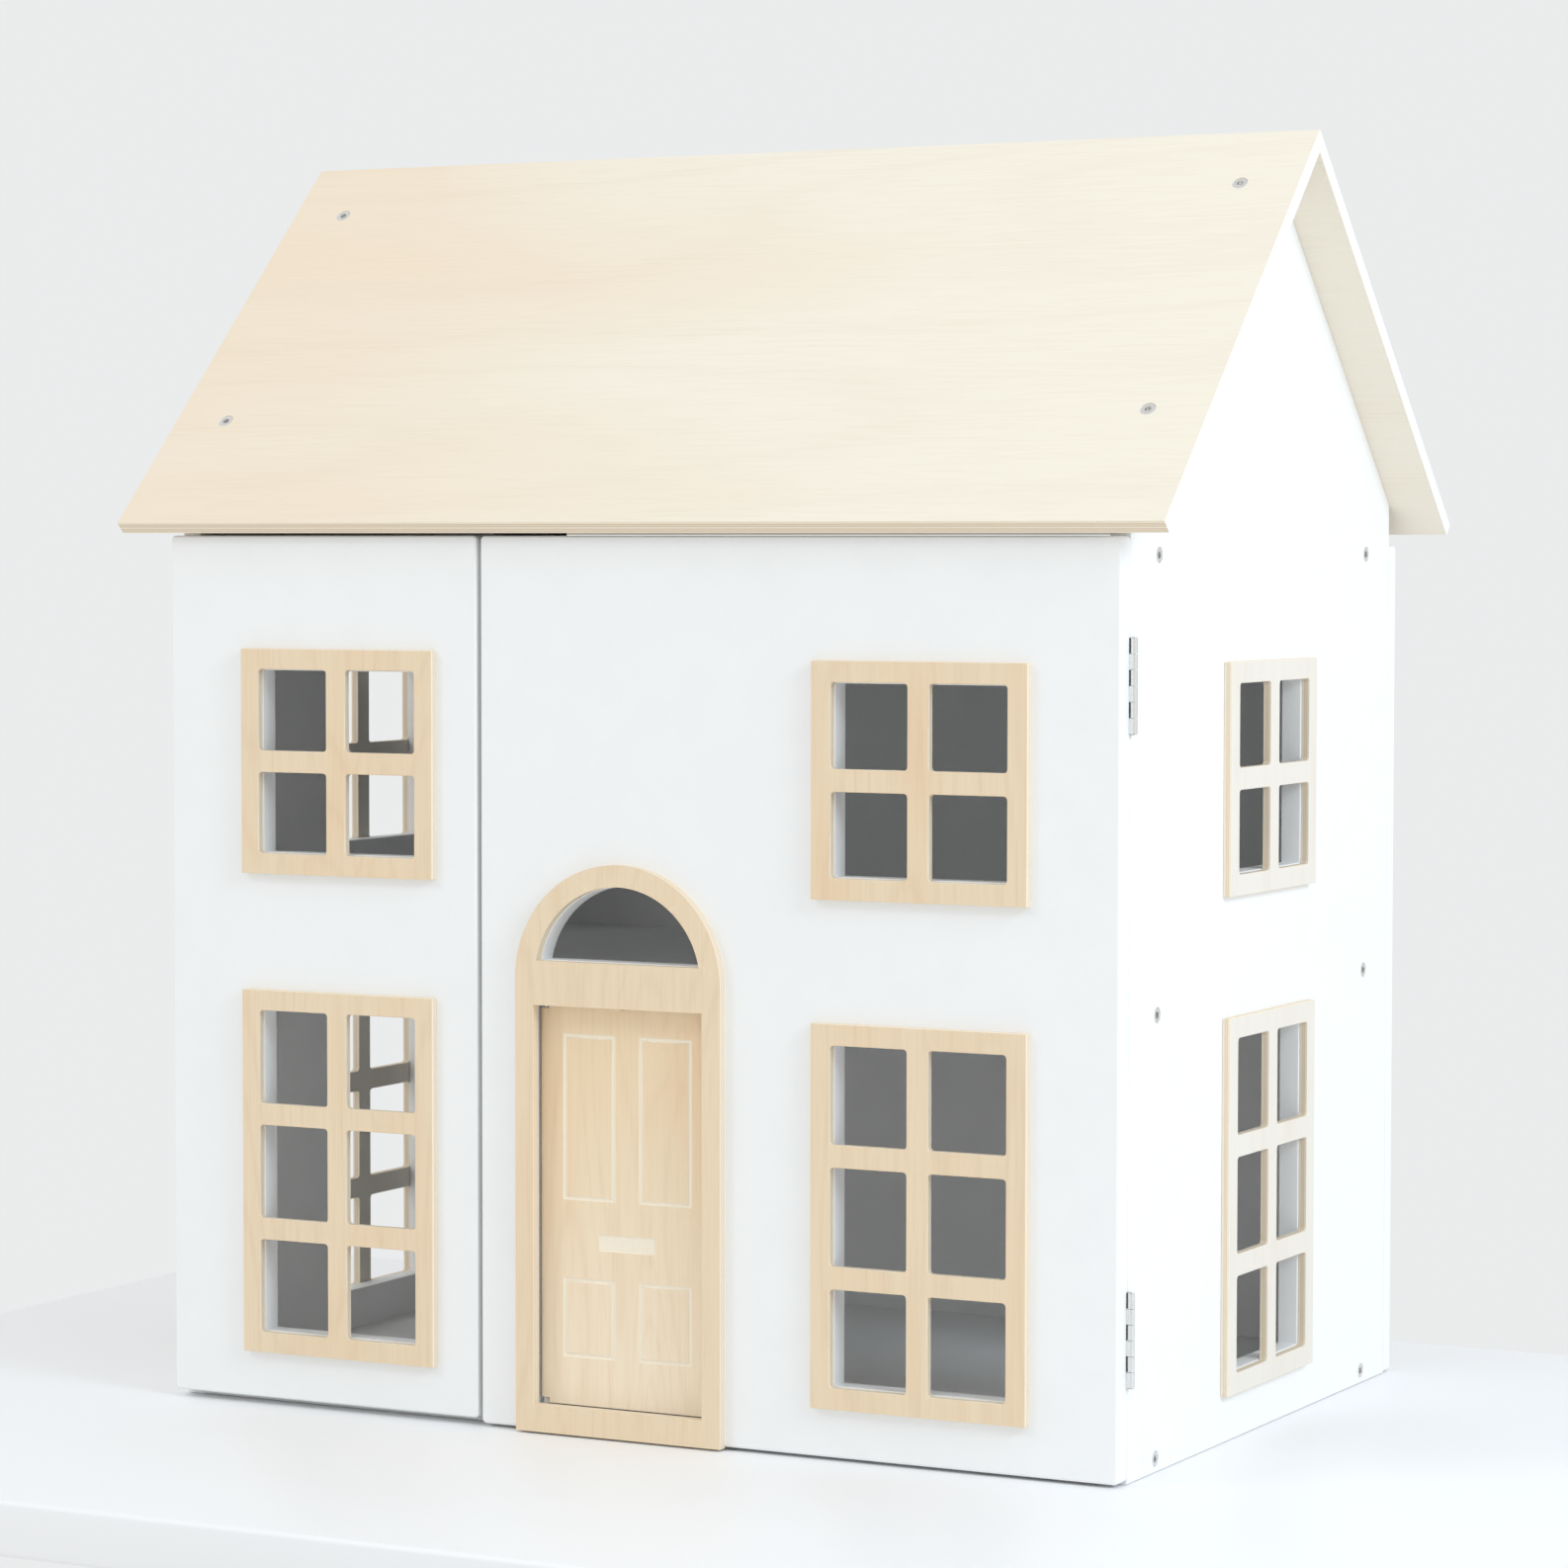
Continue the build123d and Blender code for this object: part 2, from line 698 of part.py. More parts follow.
def save_side(side, name):
    panel_bottom = panel_floor_gap if side < 0 else wide_panel_bottom
    save(f"{name}_side_wall", side_wall(side))
    save(f"{name}_wall_screws", screws_at(assembly_screw, side_screw_places(side)))
    for level, (rows, centre, bottom) in side_windows.items():
        frame = side_plane(side, half_width) * window_frame(rows, centre, bottom)
        save(f"{name}_side_{level}_window", frame)
    for level, (rows, centre, bottom) in panel_windows(side * window_centre, panel_bottom).items():
        frame = front_plane(panel_front) * window_frame(rows, centre, bottom)
        save(f"front_{name}_{level}_window", frame)
    save(f"{name}_wall_hinge_leaves", hinge_leaves(side, on_panel=False))
    save(f"{name}_panel_hinge_leaves", hinge_leaves(side, on_panel=True))
    save(f"{name}_hinge_pins", [hinge_pin(side, height) for height in hinge_heights])
    save(f"{name}_wall_hinge_screws", screws_at(hinge_screw, hinge_screw_places(side, on_panel=False)))
    save(f"{name}_panel_hinge_screws", screws_at(hinge_screw, hinge_screw_places(side, on_panel=True)))
    save(f"{name}_catch_housing", catch_housing(side))
    save(f"{name}_catch_magnet", catch_magnet(side))
    save(f"{name}_strike_plate", strike_plate(side))
    save(f"{name}_strike_screws", screws_at(plate_screw, strike_screw_places(side)))


def main():
    os.makedirs("parts", exist_ok=True)
    save("base_floor", floor_board(0.0, base_thickness))
    save("middle_floor", floor_board(middle_floor_height - floor_thickness / 2, floor_thickness))
    save("attic_floor", floor_board(attic_floor_height - floor_thickness / 2, floor_thickness))
    save("back_panel", back_panel())
    save("back_panel_screws", screws_at(assembly_screw, back_screw_places()))
    for side, name in ((-1, "front"), (1, "rear")):
        save(f"roof_{name}_slope", roof_slope(side))
        save(f"roof_{name}_screws", screws_at(roof_screw, roof_screw_places(side)))
    for side, name in ((-1, "left"), (1, "right")):
        save_side(side, name)
    save("front_left_panel", front_panel(-1))
    save("front_right_panel", wide_panel())
    save("entrance_frame", entrance_frame())
    save("entrance_door", entrance_door())
    save("entrance_pivot_pins", [pivot_pin(-1), pivot_pin(1)])
    save("entrance_door_stop", door_stop())


main()
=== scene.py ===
import json
import math

import bmesh
import bpy
from bpy.props import FloatProperty, FloatVectorProperty, PointerProperty
from mathutils import Color, Matrix, Vector

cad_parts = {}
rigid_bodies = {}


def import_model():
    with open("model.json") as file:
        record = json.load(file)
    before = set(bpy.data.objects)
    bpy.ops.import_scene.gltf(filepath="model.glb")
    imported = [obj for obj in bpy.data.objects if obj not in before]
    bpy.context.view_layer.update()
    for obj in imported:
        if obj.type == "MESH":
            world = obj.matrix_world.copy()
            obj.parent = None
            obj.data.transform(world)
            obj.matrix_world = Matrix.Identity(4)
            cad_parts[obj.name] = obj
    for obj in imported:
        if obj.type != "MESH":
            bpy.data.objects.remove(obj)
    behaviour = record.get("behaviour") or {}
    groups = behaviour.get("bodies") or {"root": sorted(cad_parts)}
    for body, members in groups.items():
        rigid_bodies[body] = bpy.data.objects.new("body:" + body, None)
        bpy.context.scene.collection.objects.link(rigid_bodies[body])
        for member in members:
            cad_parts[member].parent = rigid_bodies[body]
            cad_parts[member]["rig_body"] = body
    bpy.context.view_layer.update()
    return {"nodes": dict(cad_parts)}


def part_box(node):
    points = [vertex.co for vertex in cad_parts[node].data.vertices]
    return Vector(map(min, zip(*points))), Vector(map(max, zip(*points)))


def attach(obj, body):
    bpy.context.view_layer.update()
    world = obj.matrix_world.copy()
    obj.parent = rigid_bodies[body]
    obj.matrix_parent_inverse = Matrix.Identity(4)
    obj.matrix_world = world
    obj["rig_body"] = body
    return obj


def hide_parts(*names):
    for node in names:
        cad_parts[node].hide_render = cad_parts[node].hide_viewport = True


bl_info = {
    "name": "Wooden dollhouse finish",
    "version": (1, 0, 0),
    "blender": (4, 5, 0),
    "location": "3D View > Sidebar > Dollhouse",
    "description": "Models and finishes the visible pieces of a wooden dollhouse round its fixed frame",
    "category": "Object",
}

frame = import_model()

FRONT = (Vector((1, 0, 0)), Vector((0, 0, 1)), Vector((0, -1, 0)))
RIGHT = (Vector((0, 1, 0)), Vector((0, 0, 1)), Vector((1, 0, 0)))
LEFT = (Vector((0, -1, 0)), Vector((0, 0, 1)), Vector((-1, 0, 0)))
HALF_RIGHT_ANGLE = math.sqrt(0.5)
ALONG_X, ALONG_Z = 0, 2
ACROSS_SHEET = Vector((0.0, 0.0, 1.0))
SAME_PLACE = 1e-6
SQUARE_ON = 0.9
ROOF_THICKNESS = 0.009

# Share of the width and of the depth of a routed groove that each of its steps takes.
GROOVE_STEPS = ((0.12, 0.55), (0.14, 0.30), (0.16, 0.15))

# Screws: radius of the shank, width across the hexagon socket, and the socket's depth.
BOARD_SCREW = (0.0023, 0.0036, 0.002)
ROOF_SCREW = (0.0022, 0.0036, 0.002)
HINGE_SCREW = (0.0012, 0.0016, 0.0007)
STRIKE_SCREW = (0.0013, 0.0017, 0.0007)
SCREW_RIM = 0.0005

# Screws: shares of the head's radius that are flat and that its worn edge falls, and the
# share of the shank's radius left at the point.
SCREW_FLAT = 0.93
SCREW_EDGE_FALL = 0.05
SCREW_POINT = 0.3
SCREW_FIRST_TURN = 0.37
SCREW_NEXT_TURN = 0.81

# Stage: azimuth, pitch and roll in degrees, and the lights' place, size, power and tone.
CAMERA_PLACE = (1.297234, -2.507141, 0.497919)
CAMERA_TURN = (27.4694, -2.8654, 0.0554)
CAMERA_LENS = 109.689
CAMERA_SENSOR = 36.0
FLOOR_SIZE = (1.875, 0.815, 0.03)
FLOOR_CENTRE = (0.3625, -0.0975, -0.0152)
FLOOR_ARRIS = 0.003
SURROUNDINGS_STRENGTH = 0.955
LIGHT_AIM = (0.0, 0.0, 0.35)
LIGHTS = (
    ("side light", (2.65, -0.80, 1.75), 1.3, 35.0, (0.77, 0.885, 1.0)),
    ("front light", (-1.9, -2.4, 2.6), 1.0, 14.0, (1.0, 0.99, 0.97)),
)


# ---- sizes and colours that a user may change ----
def length(name, description, default):
    return FloatProperty(
        name=name, description=description, default=default, min=0.0, precision=5, unit="LENGTH"
    )


def colour(name, description, default):
    return FloatVectorProperty(
        name=name, description=description, default=default, min=0.0, max=1.0, subtype="COLOR_GAMMA"
    )


class DollhouseSizes(bpy.types.PropertyGroup):
    window_bar: length("Window bar", "Width of the outer bars of a window frame", 0.0118)
    window_muntin: length("Window muntin", "Width of the upright bar between the panes", 0.0128)
    window_rail: length("Window rail", "Width of the level bars between the panes", 0.0124)
    pane_corner: length("Pane corner", "Radius of the corners of each pane", 0.0022)
    trim_arris: length("Trim arris", "Rounding of the plywood frames and the door", 0.0005)
    board_arris: length("Board arris", "Rounding along the edges of the painted boards", 0.0007)
    roof_arris: length("Roof arris", "Rounding along the edges of the roof plywood", 0.0005)
    pin_arris: length("Pin arris", "Rounding along the ends of the door's pivot pins", 0.0001)
    metal_arris: length("Metal arris", "Rounding along the edges of hinges and catches", 0.0003)
    doorway_width: length("Doorway width", "Clear width of the doorway", 0.1072)
    doorway_sill: length("Doorway sill", "Height of the sill above the foot of the entrance", 0.0154)
    doorway_head: length("Doorway head", "Height of the head above the foot of the entrance", 0.2402)
    fanlight_radius: length("Fanlight radius", "Radius of the arched window over the door", 0.0528)
    fanlight_sill: length("Fanlight sill", "Height of its sill above the foot of the entrance", 0.265)
    entrance_corner: length("Entrance corner", "Radius of the two lower corners of the entrance", 0.0016)
    groove_width: length("Groove width", "Width of the routed lines on the door", 0.0024)
    groove_depth: length("Groove depth", "Depth of the routed lines on the door", 0.0008)
    panel_width: length("Door panel width", "Width of each routed panel of the door", 0.0335)
    panel_margin: length("Door panel margin", "Door's edge to the nearest routed line", 0.0154)
    lower_panel_foot: length("Lower panel foot", "Foot of the lower door panels", 0.0418)
    lower_panel_head: length("Lower panel head", "Head of the lower door panels", 0.0866)
    upper_panel_foot: length("Upper panel foot", "Foot of the upper door panels", 0.1304)
    upper_panel_head: length("Upper panel head", "Head of the upper door panels", 0.2238)
    slot_width: length("Letter slot width", "Width of the routed letter slot", 0.0355)
    slot_height: length("Letter slot height", "Height of the routed letter slot", 0.0096)
    slot_rise: length("Letter slot rise", "Height of the middle of the letter slot", 0.1074)
    notch: length("Door notch", "Size of the notches at the pivots of the door", 0.0029)
    screw_sink: length("Screw sink", "Depth of a screw's head under the surface", 0.00025)


class DollhouseColours(bpy.types.PropertyGroup):
    paint: colour("White paint", "Paint on the boards", (0.962, 0.964, 0.962))
    paint_shade: colour("Paint shade", "Slightly uneven tone of the paint", (0.945, 0.946, 0.945))
    roof_light: colour("Roof wood", "Main tone of the roof's face veneer", (0.944, 0.914, 0.850))
    roof_warm: colour("Roof wood, warm", "Warmer patches of the roof's face veneer", (0.938, 0.862, 0.765))
    roof_dark: colour("Roof wood, fibres", "Fine lines in the roof's face veneer", (0.87, 0.795, 0.685))
    trim_light: colour("Frame wood", "Main tone of the window and entrance frames", (0.928, 0.845, 0.722))
    trim_warm: colour("Frame wood, warm", "Warmer patches of the frames", (0.918, 0.798, 0.655))
    trim_dark: colour("Frame wood, fibres", "Fine lines in the frames", (0.835, 0.70, 0.55))
    # Painted light: the three side frame tones are a paler, cooler copy of the frame wood, standing in for
    # the strong cool light from the right.
    sidelit_trim_main: colour("Side frame wood", "Main tone of the sidelight_paled side frames", (0.918, 0.895, 0.855))
    sidelit_trim_warm: colour("Side frame wood, warm", "Warmer patches of them", (0.906, 0.868, 0.815))
    sidelit_trim_fibres: colour("Side frame wood, fibres", "Fine lines in them", (0.86, 0.80, 0.72))
    door_light: colour("Door wood", "Main tone of the door", (0.942, 0.850, 0.712))
    door_warm: colour("Door wood, warm", "Pinkish patches of the door", (0.935, 0.797, 0.648))
    door_dark: colour("Door wood, fibres", "Fine lines in the door", (0.855, 0.725, 0.575))
    # Painted light: this paler tone, mixed in towards the foot of the door, stands in for light bounced up
    # from the floor.
    door_bounce_lit: colour("Door wood, pale", "Paler wood towards the foot of the door", (0.972, 0.922, 0.832))
    groove: colour("Routed wood", "Freshly cut wood in the door's grooves", (0.975, 0.95, 0.885))
    ply_pale: colour("Plywood edge, pale", "Plies whose grain runs along the edge", (0.955, 0.905, 0.820))
    ply_deep: colour("Plywood edge, deep", "Plies cut across their grain", (0.915, 0.845, 0.745))
    ply_glue: colour("Plywood edge, glue", "Thin glue lines between the plies", (0.80, 0.715, 0.61))
    zinc: colour("Zinc plate", "Screws", (0.90, 0.895, 0.885))
    nickel: colour("Nickel plate", "Hinges and strike plates", (0.925, 0.92, 0.91))
    plastic: colour("Catch plastic", "Housings of the magnetic catches", (0.12, 0.115, 0.11))
    magnet: colour("Magnet steel", "Pole plates of the magnetic catches", (0.58, 0.58, 0.59))
    floor: colour("Floor", "Plain floor that the house stands on", (0.965, 0.967, 0.972))
    backdrop: colour("Backdrop", "Plain pale surroundings", (0.938, 0.945, 0.947))


def sizes():
    return bpy.context.scene.dollhouse_sizes


def shade(name):
    """A named colour of the house, as linear red, green, blue and an alpha of 1."""
    chosen = Color(getattr(bpy.context.scene.dollhouse_colours, name))
    return (*chosen.from_srgb_to_scene_linear(), 1.0)


# ---- materials ----
class Value:
    """A number from a material's nodes, which takes part in sums like a plain number."""

    def __init__(self, surface, socket):
        self.surface = surface
        self.socket = socket

    def math(self, operation, first, second=0.0):
        return self.surface.add("ShaderNodeMath", {"operation": operation}, {0: first, 1: second})

    def __add__(self, other):
        return self.math("ADD", self, other)

    __radd__ = __add__

    def __sub__(self, other):
        return self.math("SUBTRACT", self, other)

    def __rsub__(self, other):
        return self.math("SUBTRACT", other, self)

    def __mul__(self, other):
        return self.math("MULTIPLY", self, other)

    __rmul__ = __mul__

    def __truediv__(self, other):
        return self.math("DIVIDE", self, other)

    def __pow__(self, other):
        return self.math("POWER", self, other)

    def __abs__(self):
        return self.math("ABSOLUTE", self)

    def sine(self):
        return self.math("SINE", self)

    def clamped(self):
        return self.surface.add("ShaderNodeClamp", values={0: self})


class Surface:
    """A procedural material, built node by node on the piece's own coordinates."""

    def __init__(self, name):
        self.material = bpy.data.materials.new(name)
        self.material.use_nodes = True
        self.tree = self.material.node_tree
        self.tree.nodes.clear()
        self.place = self.add("ShaderNodeTexCoord", output="Object")

    def feed(self, socket, value):
        if isinstance(value, Value):
            self.tree.links.new(value.socket, socket)
        else:
            socket.default_value = value

    def add(self, kind, settings=None, values=None, output=0):
        node = self.tree.nodes.new(kind)
        for name, setting in (settings or {}).items():
            if name == "stops":
                self.set_stops(node.color_ramp, setting)
            else:
                setattr(node, name, setting)
        for name, value in (values or {}).items():
            self.feed(node.inputs[name], value)
        return Value(self, node.outputs[output])

    def set_stops(self, ramp, stops):
        while len(ramp.elements) < len(stops):
            ramp.elements.new(0.5)
        for element, (position, tone) in zip(ramp.elements, stops):
            element.position = position
            element.color = tone

    def mix(self, amount, first, second):
        return self.add(
            "ShaderNodeMix", {"data_type": "RGBA"}, {0: amount, 6: first, 7: second}, output=2
        )

    def noise(self, scale, stretch=(1.0, 1.0, 1.0), shift=0.0, detail=2.0, distortion=0.0):
        """Soft noise; a stretch below 1 draws it out along that axis."""
        where = self.add(
            "ShaderNodeMapping",
            values={"Vector": self.place, "Scale": stretch, "Location": (shift, shift, shift)},
        )
        return self.add(
            "ShaderNodeTexNoise",
            values={"Vector": where, "Scale": scale, "Detail": detail, "Distortion": distortion},
        )

    def finish(self, base, roughness, metallic=0.0, height=None, depth=0.0, coat=0.0):
        shader = self.tree.nodes.new("ShaderNodeBsdfPrincipled")
        self.feed(shader.inputs["Base Color"], base)
        self.feed(shader.inputs["Roughness"], roughness)
        self.feed(shader.inputs["Metallic"], metallic)
        self.feed(shader.inputs["Coat Weight"], coat)
        shader.inputs["Coat Roughness"].default_value = 0.35
        if height is not None:
            bump = self.add("ShaderNodeBump", values={"Height": height, "Distance": depth}, output="Normal")
            self.feed(shader.inputs["Normal"], bump)
        end = self.tree.nodes.new("ShaderNodeOutputMaterial")
        self.tree.links.new(shader.outputs["BSDF"], end.inputs["Surface"])
        return self.material


def finished(name, make):
    """The material of that name, made the first time it is asked for."""
    return bpy.data.materials.get(name) or make(Surface(name))


def drawn_out(axis, amount):
    return [amount if index == axis else 1.0 for index in range(3)]


def painted(surface):
    """Sprayed white paint: a fine orange peel and a very slight unevenness of tone."""
    peel = surface.noise(520.0, detail=2.0)
    sags = surface.noise(38.0, shift=3.0, detail=1.0)
    tone = surface.mix((sags - 0.35).clamped(), shade("paint"), shade("paint_shade"))
    return surface.finish(tone, 0.40 + sags * 0.14, height=peel + sags * 2.0, depth=0.00006)


def wood(surface, tones, along, patch_scale, figure, shift, bounce_lit=0.0, warmer=0.0):
    """Rotary-cut veneer under a clear lacquer, with its grain along one axis."""
    light, warm, dark = (shade(tone) for tone in tones)
    patches = surface.noise(patch_scale, drawn_out(along, 0.22), shift, detail=1.5, distortion=0.4)
    contour = surface.noise(patch_scale * 0.8, drawn_out(along, 0.14), shift + 7.0, detail=1.0)
    lines = ((contour * 70.0).sine() * 0.5 + 0.5) ** 5.0
    fibres = surface.noise(620.0, drawn_out(along, 0.035), shift + 2.0, detail=3.0)
    pores = surface.noise(1500.0, drawn_out(along, 0.07), shift + 5.0, detail=1.0)
    pore_marks = ((pores - 0.64) * 6.0).clamped()
    warmth = ((patches - 0.48) * 2.2 + warmer).clamped()
    # The mix by bounce_lit paints light bounced up from the floor onto the foot of the door; it is zero for
    # every other wood.
    body = surface.mix(bounce_lit, surface.mix(warmth, light, warm), shade("door_bounce_lit"))
    marks = (lines * figure + (fibres - 0.45) * 0.55 + pore_marks * 0.16).clamped()
    tone = surface.mix(marks, body, dark)
    height = fibres * 0.6 - pore_marks * 0.5
    return surface.finish(tone, 0.46 + fibres * 0.14, height=height, depth=0.00005, coat=0.10)


def roof_face(surface):
    tones = ("roof_light", "roof_warm", "roof_dark")
    warmer = (0.02 - axis_value(surface, ALONG_X)) * 2.0
    return wood(surface, tones, ALONG_X, 7.0, 0.08, 0.0, warmer=warmer)


def trim_face(surface):
    tones = ("trim_light", "trim_warm", "trim_dark")
    return wood(surface, tones, ALONG_Z, 24.0, 0.14, 11.0)


# Painted light: the same plywood as the front frames, painted paler and cooler as the strong light from the
# right makes it look.
def sidelit_trim_face(surface):
    tones = ("sidelit_trim_main", "sidelit_trim_warm", "sidelit_trim_fibres")
    return wood(surface, tones, ALONG_Z, 24.0, 0.12, 17.0)


def door_face(surface):
    tones = ("door_light", "door_warm", "door_dark")
    # Painted bounce light: the door turns paler below 0.2 m, as if lit from the floor, not from a change in
    # the wood.
    bounce_lit = ((0.20 - axis_value(surface, ALONG_Z)) * 5.5).clamped() * 0.75
    return wood(surface, tones, ALONG_Z, 30.0, 0.12, 23.0, bounce_lit)


def routed_wood(surface):
    """Freshly routed wood, paler and duller than the face round it."""
    fibres = surface.noise(700.0, drawn_out(ALONG_Z, 0.05), 29.0, detail=2.0)
    tone = surface.mix((fibres * 0.5).clamped(), shade("groove"), shade("door_light"))
    return surface.finish(tone, 0.62, height=fibres, depth=0.00006)


def ply_stops(plies):
    """Tones across the edge of a plywood board, with a thin glue line between plies."""
    glue_half = 0.018
    stops = []
    for index in range(plies):
        tone = shade("ply_pale" if index % 2 == 0 else "ply_deep")
        low = index / plies
        high = (index + 1) / plies
        stops.append((low + glue_half * 2, tone))
        stops.append((high - glue_half * 2, tone))
        if index < plies - 1:
            stops.append((high, shade("ply_glue")))
    return stops


def plywood_edge(surface, depth_in, thickness, plies):
    """Edge of a plywood board; depth_in is the distance from one of its faces."""
    ramp = surface.add("ShaderNodeValToRGB", {"stops": ply_stops(plies)}, {0: depth_in / thickness})
    fibres = surface.noise(900.0, shift=31.0, detail=3.0)
    saw_marks = surface.noise(130.0, shift=37.0, detail=1.0)
    soil = ((fibres - 0.42) * 0.9 + (saw_marks - 0.5) * 0.5).clamped()
    tone = surface.mix(soil, ramp, shade("ply_deep"))
    return surface.finish(tone, 0.62, height=fibres + saw_marks * 0.5, depth=0.00009)


def axis_value(surface, axis):
    return surface.add("ShaderNodeSeparateXYZ", values={0: surface.place}, output=axis)


def roof_edge(surface):
    """Both slopes have one distance from the ridge line, so one edge serves them."""
    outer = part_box("roof_front_slope")[1].z * HALF_RIGHT_ANGLE
    slant = (abs(axis_value(surface, 1)) + axis_value(surface, 2)) * HALF_RIGHT_ANGLE
    return plywood_edge(surface, outer - slant, ROOF_THICKNESS, 5)


def front_trim_edge(surface):
    low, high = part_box("front_left_lower_window")
    return plywood_edge(surface, high.y - axis_value(surface, 1), high.y - low.y, 3)


def side_trim_edge(surface):
    low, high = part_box("right_side_lower_window")
    return plywood_edge(surface, abs(axis_value(surface, 0)) - low.x, high.x - low.x, 3)


def entrance_edge(surface):
    low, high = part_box("entrance_frame")
    return plywood_edge(surface, high.y - axis_value(surface, 1), high.y - low.y, 5)


def door_edge(surface):
    low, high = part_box("entrance_door")
    return plywood_edge(surface, high.y - axis_value(surface, 1), high.y - low.y, 5)


def plated(surface, tone, roughness):
    """Plated steel with a faint brushing and small dull spots."""
    brushing = surface.noise(2600.0, drawn_out(ALONG_Z, 0.08), 41.0, detail=2.0)
    spots = surface.noise(420.0, shift=43.0, detail=2.0)
    dull = ((spots - 0.55) * 3.0).clamped()
    darker = tuple(0.72 * part for part in shade(tone)[:3]) + (1.0,)
    base = surface.mix(dull * 0.5 + brushing * 0.2, shade(tone), darker)
    rough = roughness + dull * 0.15 + brushing * 0.08
    return surface.finish(base, rough, metallic=1.0, height=brushing, depth=0.000012)


def zinc(surface):
    return plated(surface, "zinc", 0.30)


def nickel(surface):
    return plated(surface, "nickel", 0.24)


def magnet_steel(surface):
    return plated(surface, "magnet", 0.38)


def black_plastic(surface):
    """Moulded plastic with a fine spark-eroded texture."""
    texture = surface.noise(1800.0, shift=47.0, detail=2.0)
    wear = surface.noise(90.0, shift=53.0, detail=2.0)
    lighter = tuple(1.6 * part for part in shade("plastic")[:3]) + (1.0,)
    tone = surface.mix((wear * 0.6).clamped(), shade("plastic"), lighter)
    return surface.finish(tone, 0.42 + wear * 0.15, height=texture, depth=0.00004)


def plain_floor(surface):
    cloud = surface.noise(6.0, shift=59.0, detail=1.0)
    darker = tuple(0.985 * part for part in shade("floor")[:3]) + (1.0,)
    return surface.finish(surface.mix(cloud, shade("floor"), darker), 0.42 + cloud * 0.06)


# ---- modelling helpers ----
def node_body(node):
    return frame["nodes"][node]["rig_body"]


def mark_shading(bm, crease):
    for face in bm.faces:
        face.smooth = True
    for edge in bm.edges:
        if edge.is_manifold and edge.calc_face_angle() > math.radians(crease):
            edge.smooth = False


def add_piece(name, bm, materials, node, crease=38.0):
    """Turn a finished mesh into a visible piece that stands for one node of the frame."""
    mark_shading(bm, crease)
    mesh = bpy.data.meshes.new(name)
    bm.to_mesh(mesh)
    bm.free()
    piece = bpy.data.objects.new(name, mesh)
    bpy.context.scene.collection.objects.link(piece)
    for material in materials:
        mesh.materials.append(material)
    even = piece.modifiers.new("Even shading", "WEIGHTED_NORMAL")
    even.keep_sharp = True
    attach(piece, node_body(node))
    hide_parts(node)
    return piece


def sheet(x_range, y_range):
    """One flat rectangle in the local XY plane."""
    bm = bmesh.new()
    bmesh.ops.create_grid(bm, x_segments=1, y_segments=1, size=0.5)
    size = (x_range[1] - x_range[0], y_range[1] - y_range[0], 1.0)
    middle = (sum(x_range) / 2, sum(y_range) / 2, 0.0)
    bmesh.ops.scale(bm, vec=size, verts=bm.verts)
    bmesh.ops.translate(bm, vec=middle, verts=bm.verts)
    return bm


def cut_along(bm, axis, places):
    """Cut the whole mesh with planes across one axis."""
    across = Vector((0.0, 0.0, 0.0))
    across[axis] = 1.0
    for place in places:
        everything = bm.verts[:] + bm.edges[:] + bm.faces[:]
        bmesh.ops.bisect_plane(bm, geom=everything, plane_co=across * place, plane_no=across)


def inside(face, x_range, y_range):
    middle = face.calc_center_median()
    return x_range[0] < middle.x < x_range[1] and y_range[0] < middle.y < y_range[1]


def remove_faces(bm, faces):
    bmesh.ops.delete(bm, geom=faces, context="FACES")


def thicken(bm, thickness):
    """Give a flat sheet its thickness, towards local +Z for a positive value."""
    made = bmesh.ops.extrude_face_region(bm, geom=bm.faces[:], use_keep_orig=True)
    moved = [part for part in made["geom"] if isinstance(part, bmesh.types.BMVert)]
    bmesh.ops.translate(bm, vec=(0.0, 0.0, thickness), verts=moved)
    bmesh.ops.recalc_face_normals(bm, faces=bm.faces)


def round_edges(bm, edges, radius, segments):
    bmesh.ops.bevel(
        bm, geom=edges, affect="EDGES", offset=radius, offset_type="OFFSET",
        segments=segments, profile=0.5, material=-1, clamp_overlap=True,
    )


def sharp_edges(bm, least_angle=50.0, least_length=0.0):
    limit = math.radians(least_angle)
    return [
        edge for edge in bm.edges
        if edge.is_manifold and edge.calc_face_angle() > limit and edge.calc_length() > least_length
    ]


def set_face_materials(bm):
    """The two broad faces of a sheet keep the first material; the rest take the edge's."""
    for face in bm.faces:
        face.material_index = 0 if abs(face.normal.dot(ACROSS_SHEET)) > SQUARE_ON else 1


def stand(bm, directions, origin):
    """Move a mesh from its local plane to its place: local X, Y and Z go to the three directions."""
    turn = Matrix(directions).transposed().to_4x4()
    bm.transform(Matrix.Translation(origin) @ turn)


def copy_of(node):
    """A clean copy of a node's mesh, with its loose triangles joined up into flat faces."""
    bm = bmesh.new()
    bm.from_mesh(frame["nodes"][node].data)
    bmesh.ops.remove_doubles(bm, verts=bm.verts, dist=SAME_PLACE)
    bmesh.ops.dissolve_limit(
        bm, angle_limit=math.radians(0.3), use_dissolve_boundaries=False, verts=bm.verts, edges=bm.edges
    )
    return bm


def softened_copy(node, radius, least_length, segments=3):
    """A copy of a node with its long sharp edges rounded, as paint and sanding leave them."""
    bm = copy_of(node)
    round_edges(bm, sharp_edges(bm, 60.0, least_length), radius, segments)
    return bm


def islands(bm):
    """The separate solids of a mesh, each as a list of points."""
    left = set(bm.verts)
    groups = []
    for start in bm.verts:
        if start not in left:
            continue
        left.remove(start)
        group = [start]
        for vert in group:
            for edge in vert.link_edges:
                other = edge.other_vert(vert)
                if other in left:
                    left.remove(other)
                    group.append(other)
        groups.append([vert.co.copy() for vert in group])
    return groups


# ---- painted boards ----
def make_board(node):
    bm = softened_copy(node, sizes().board_arris, 0.02)
    return add_piece("painted_" + node, bm, [finished("white_paint", painted)], node, crease=50.0)


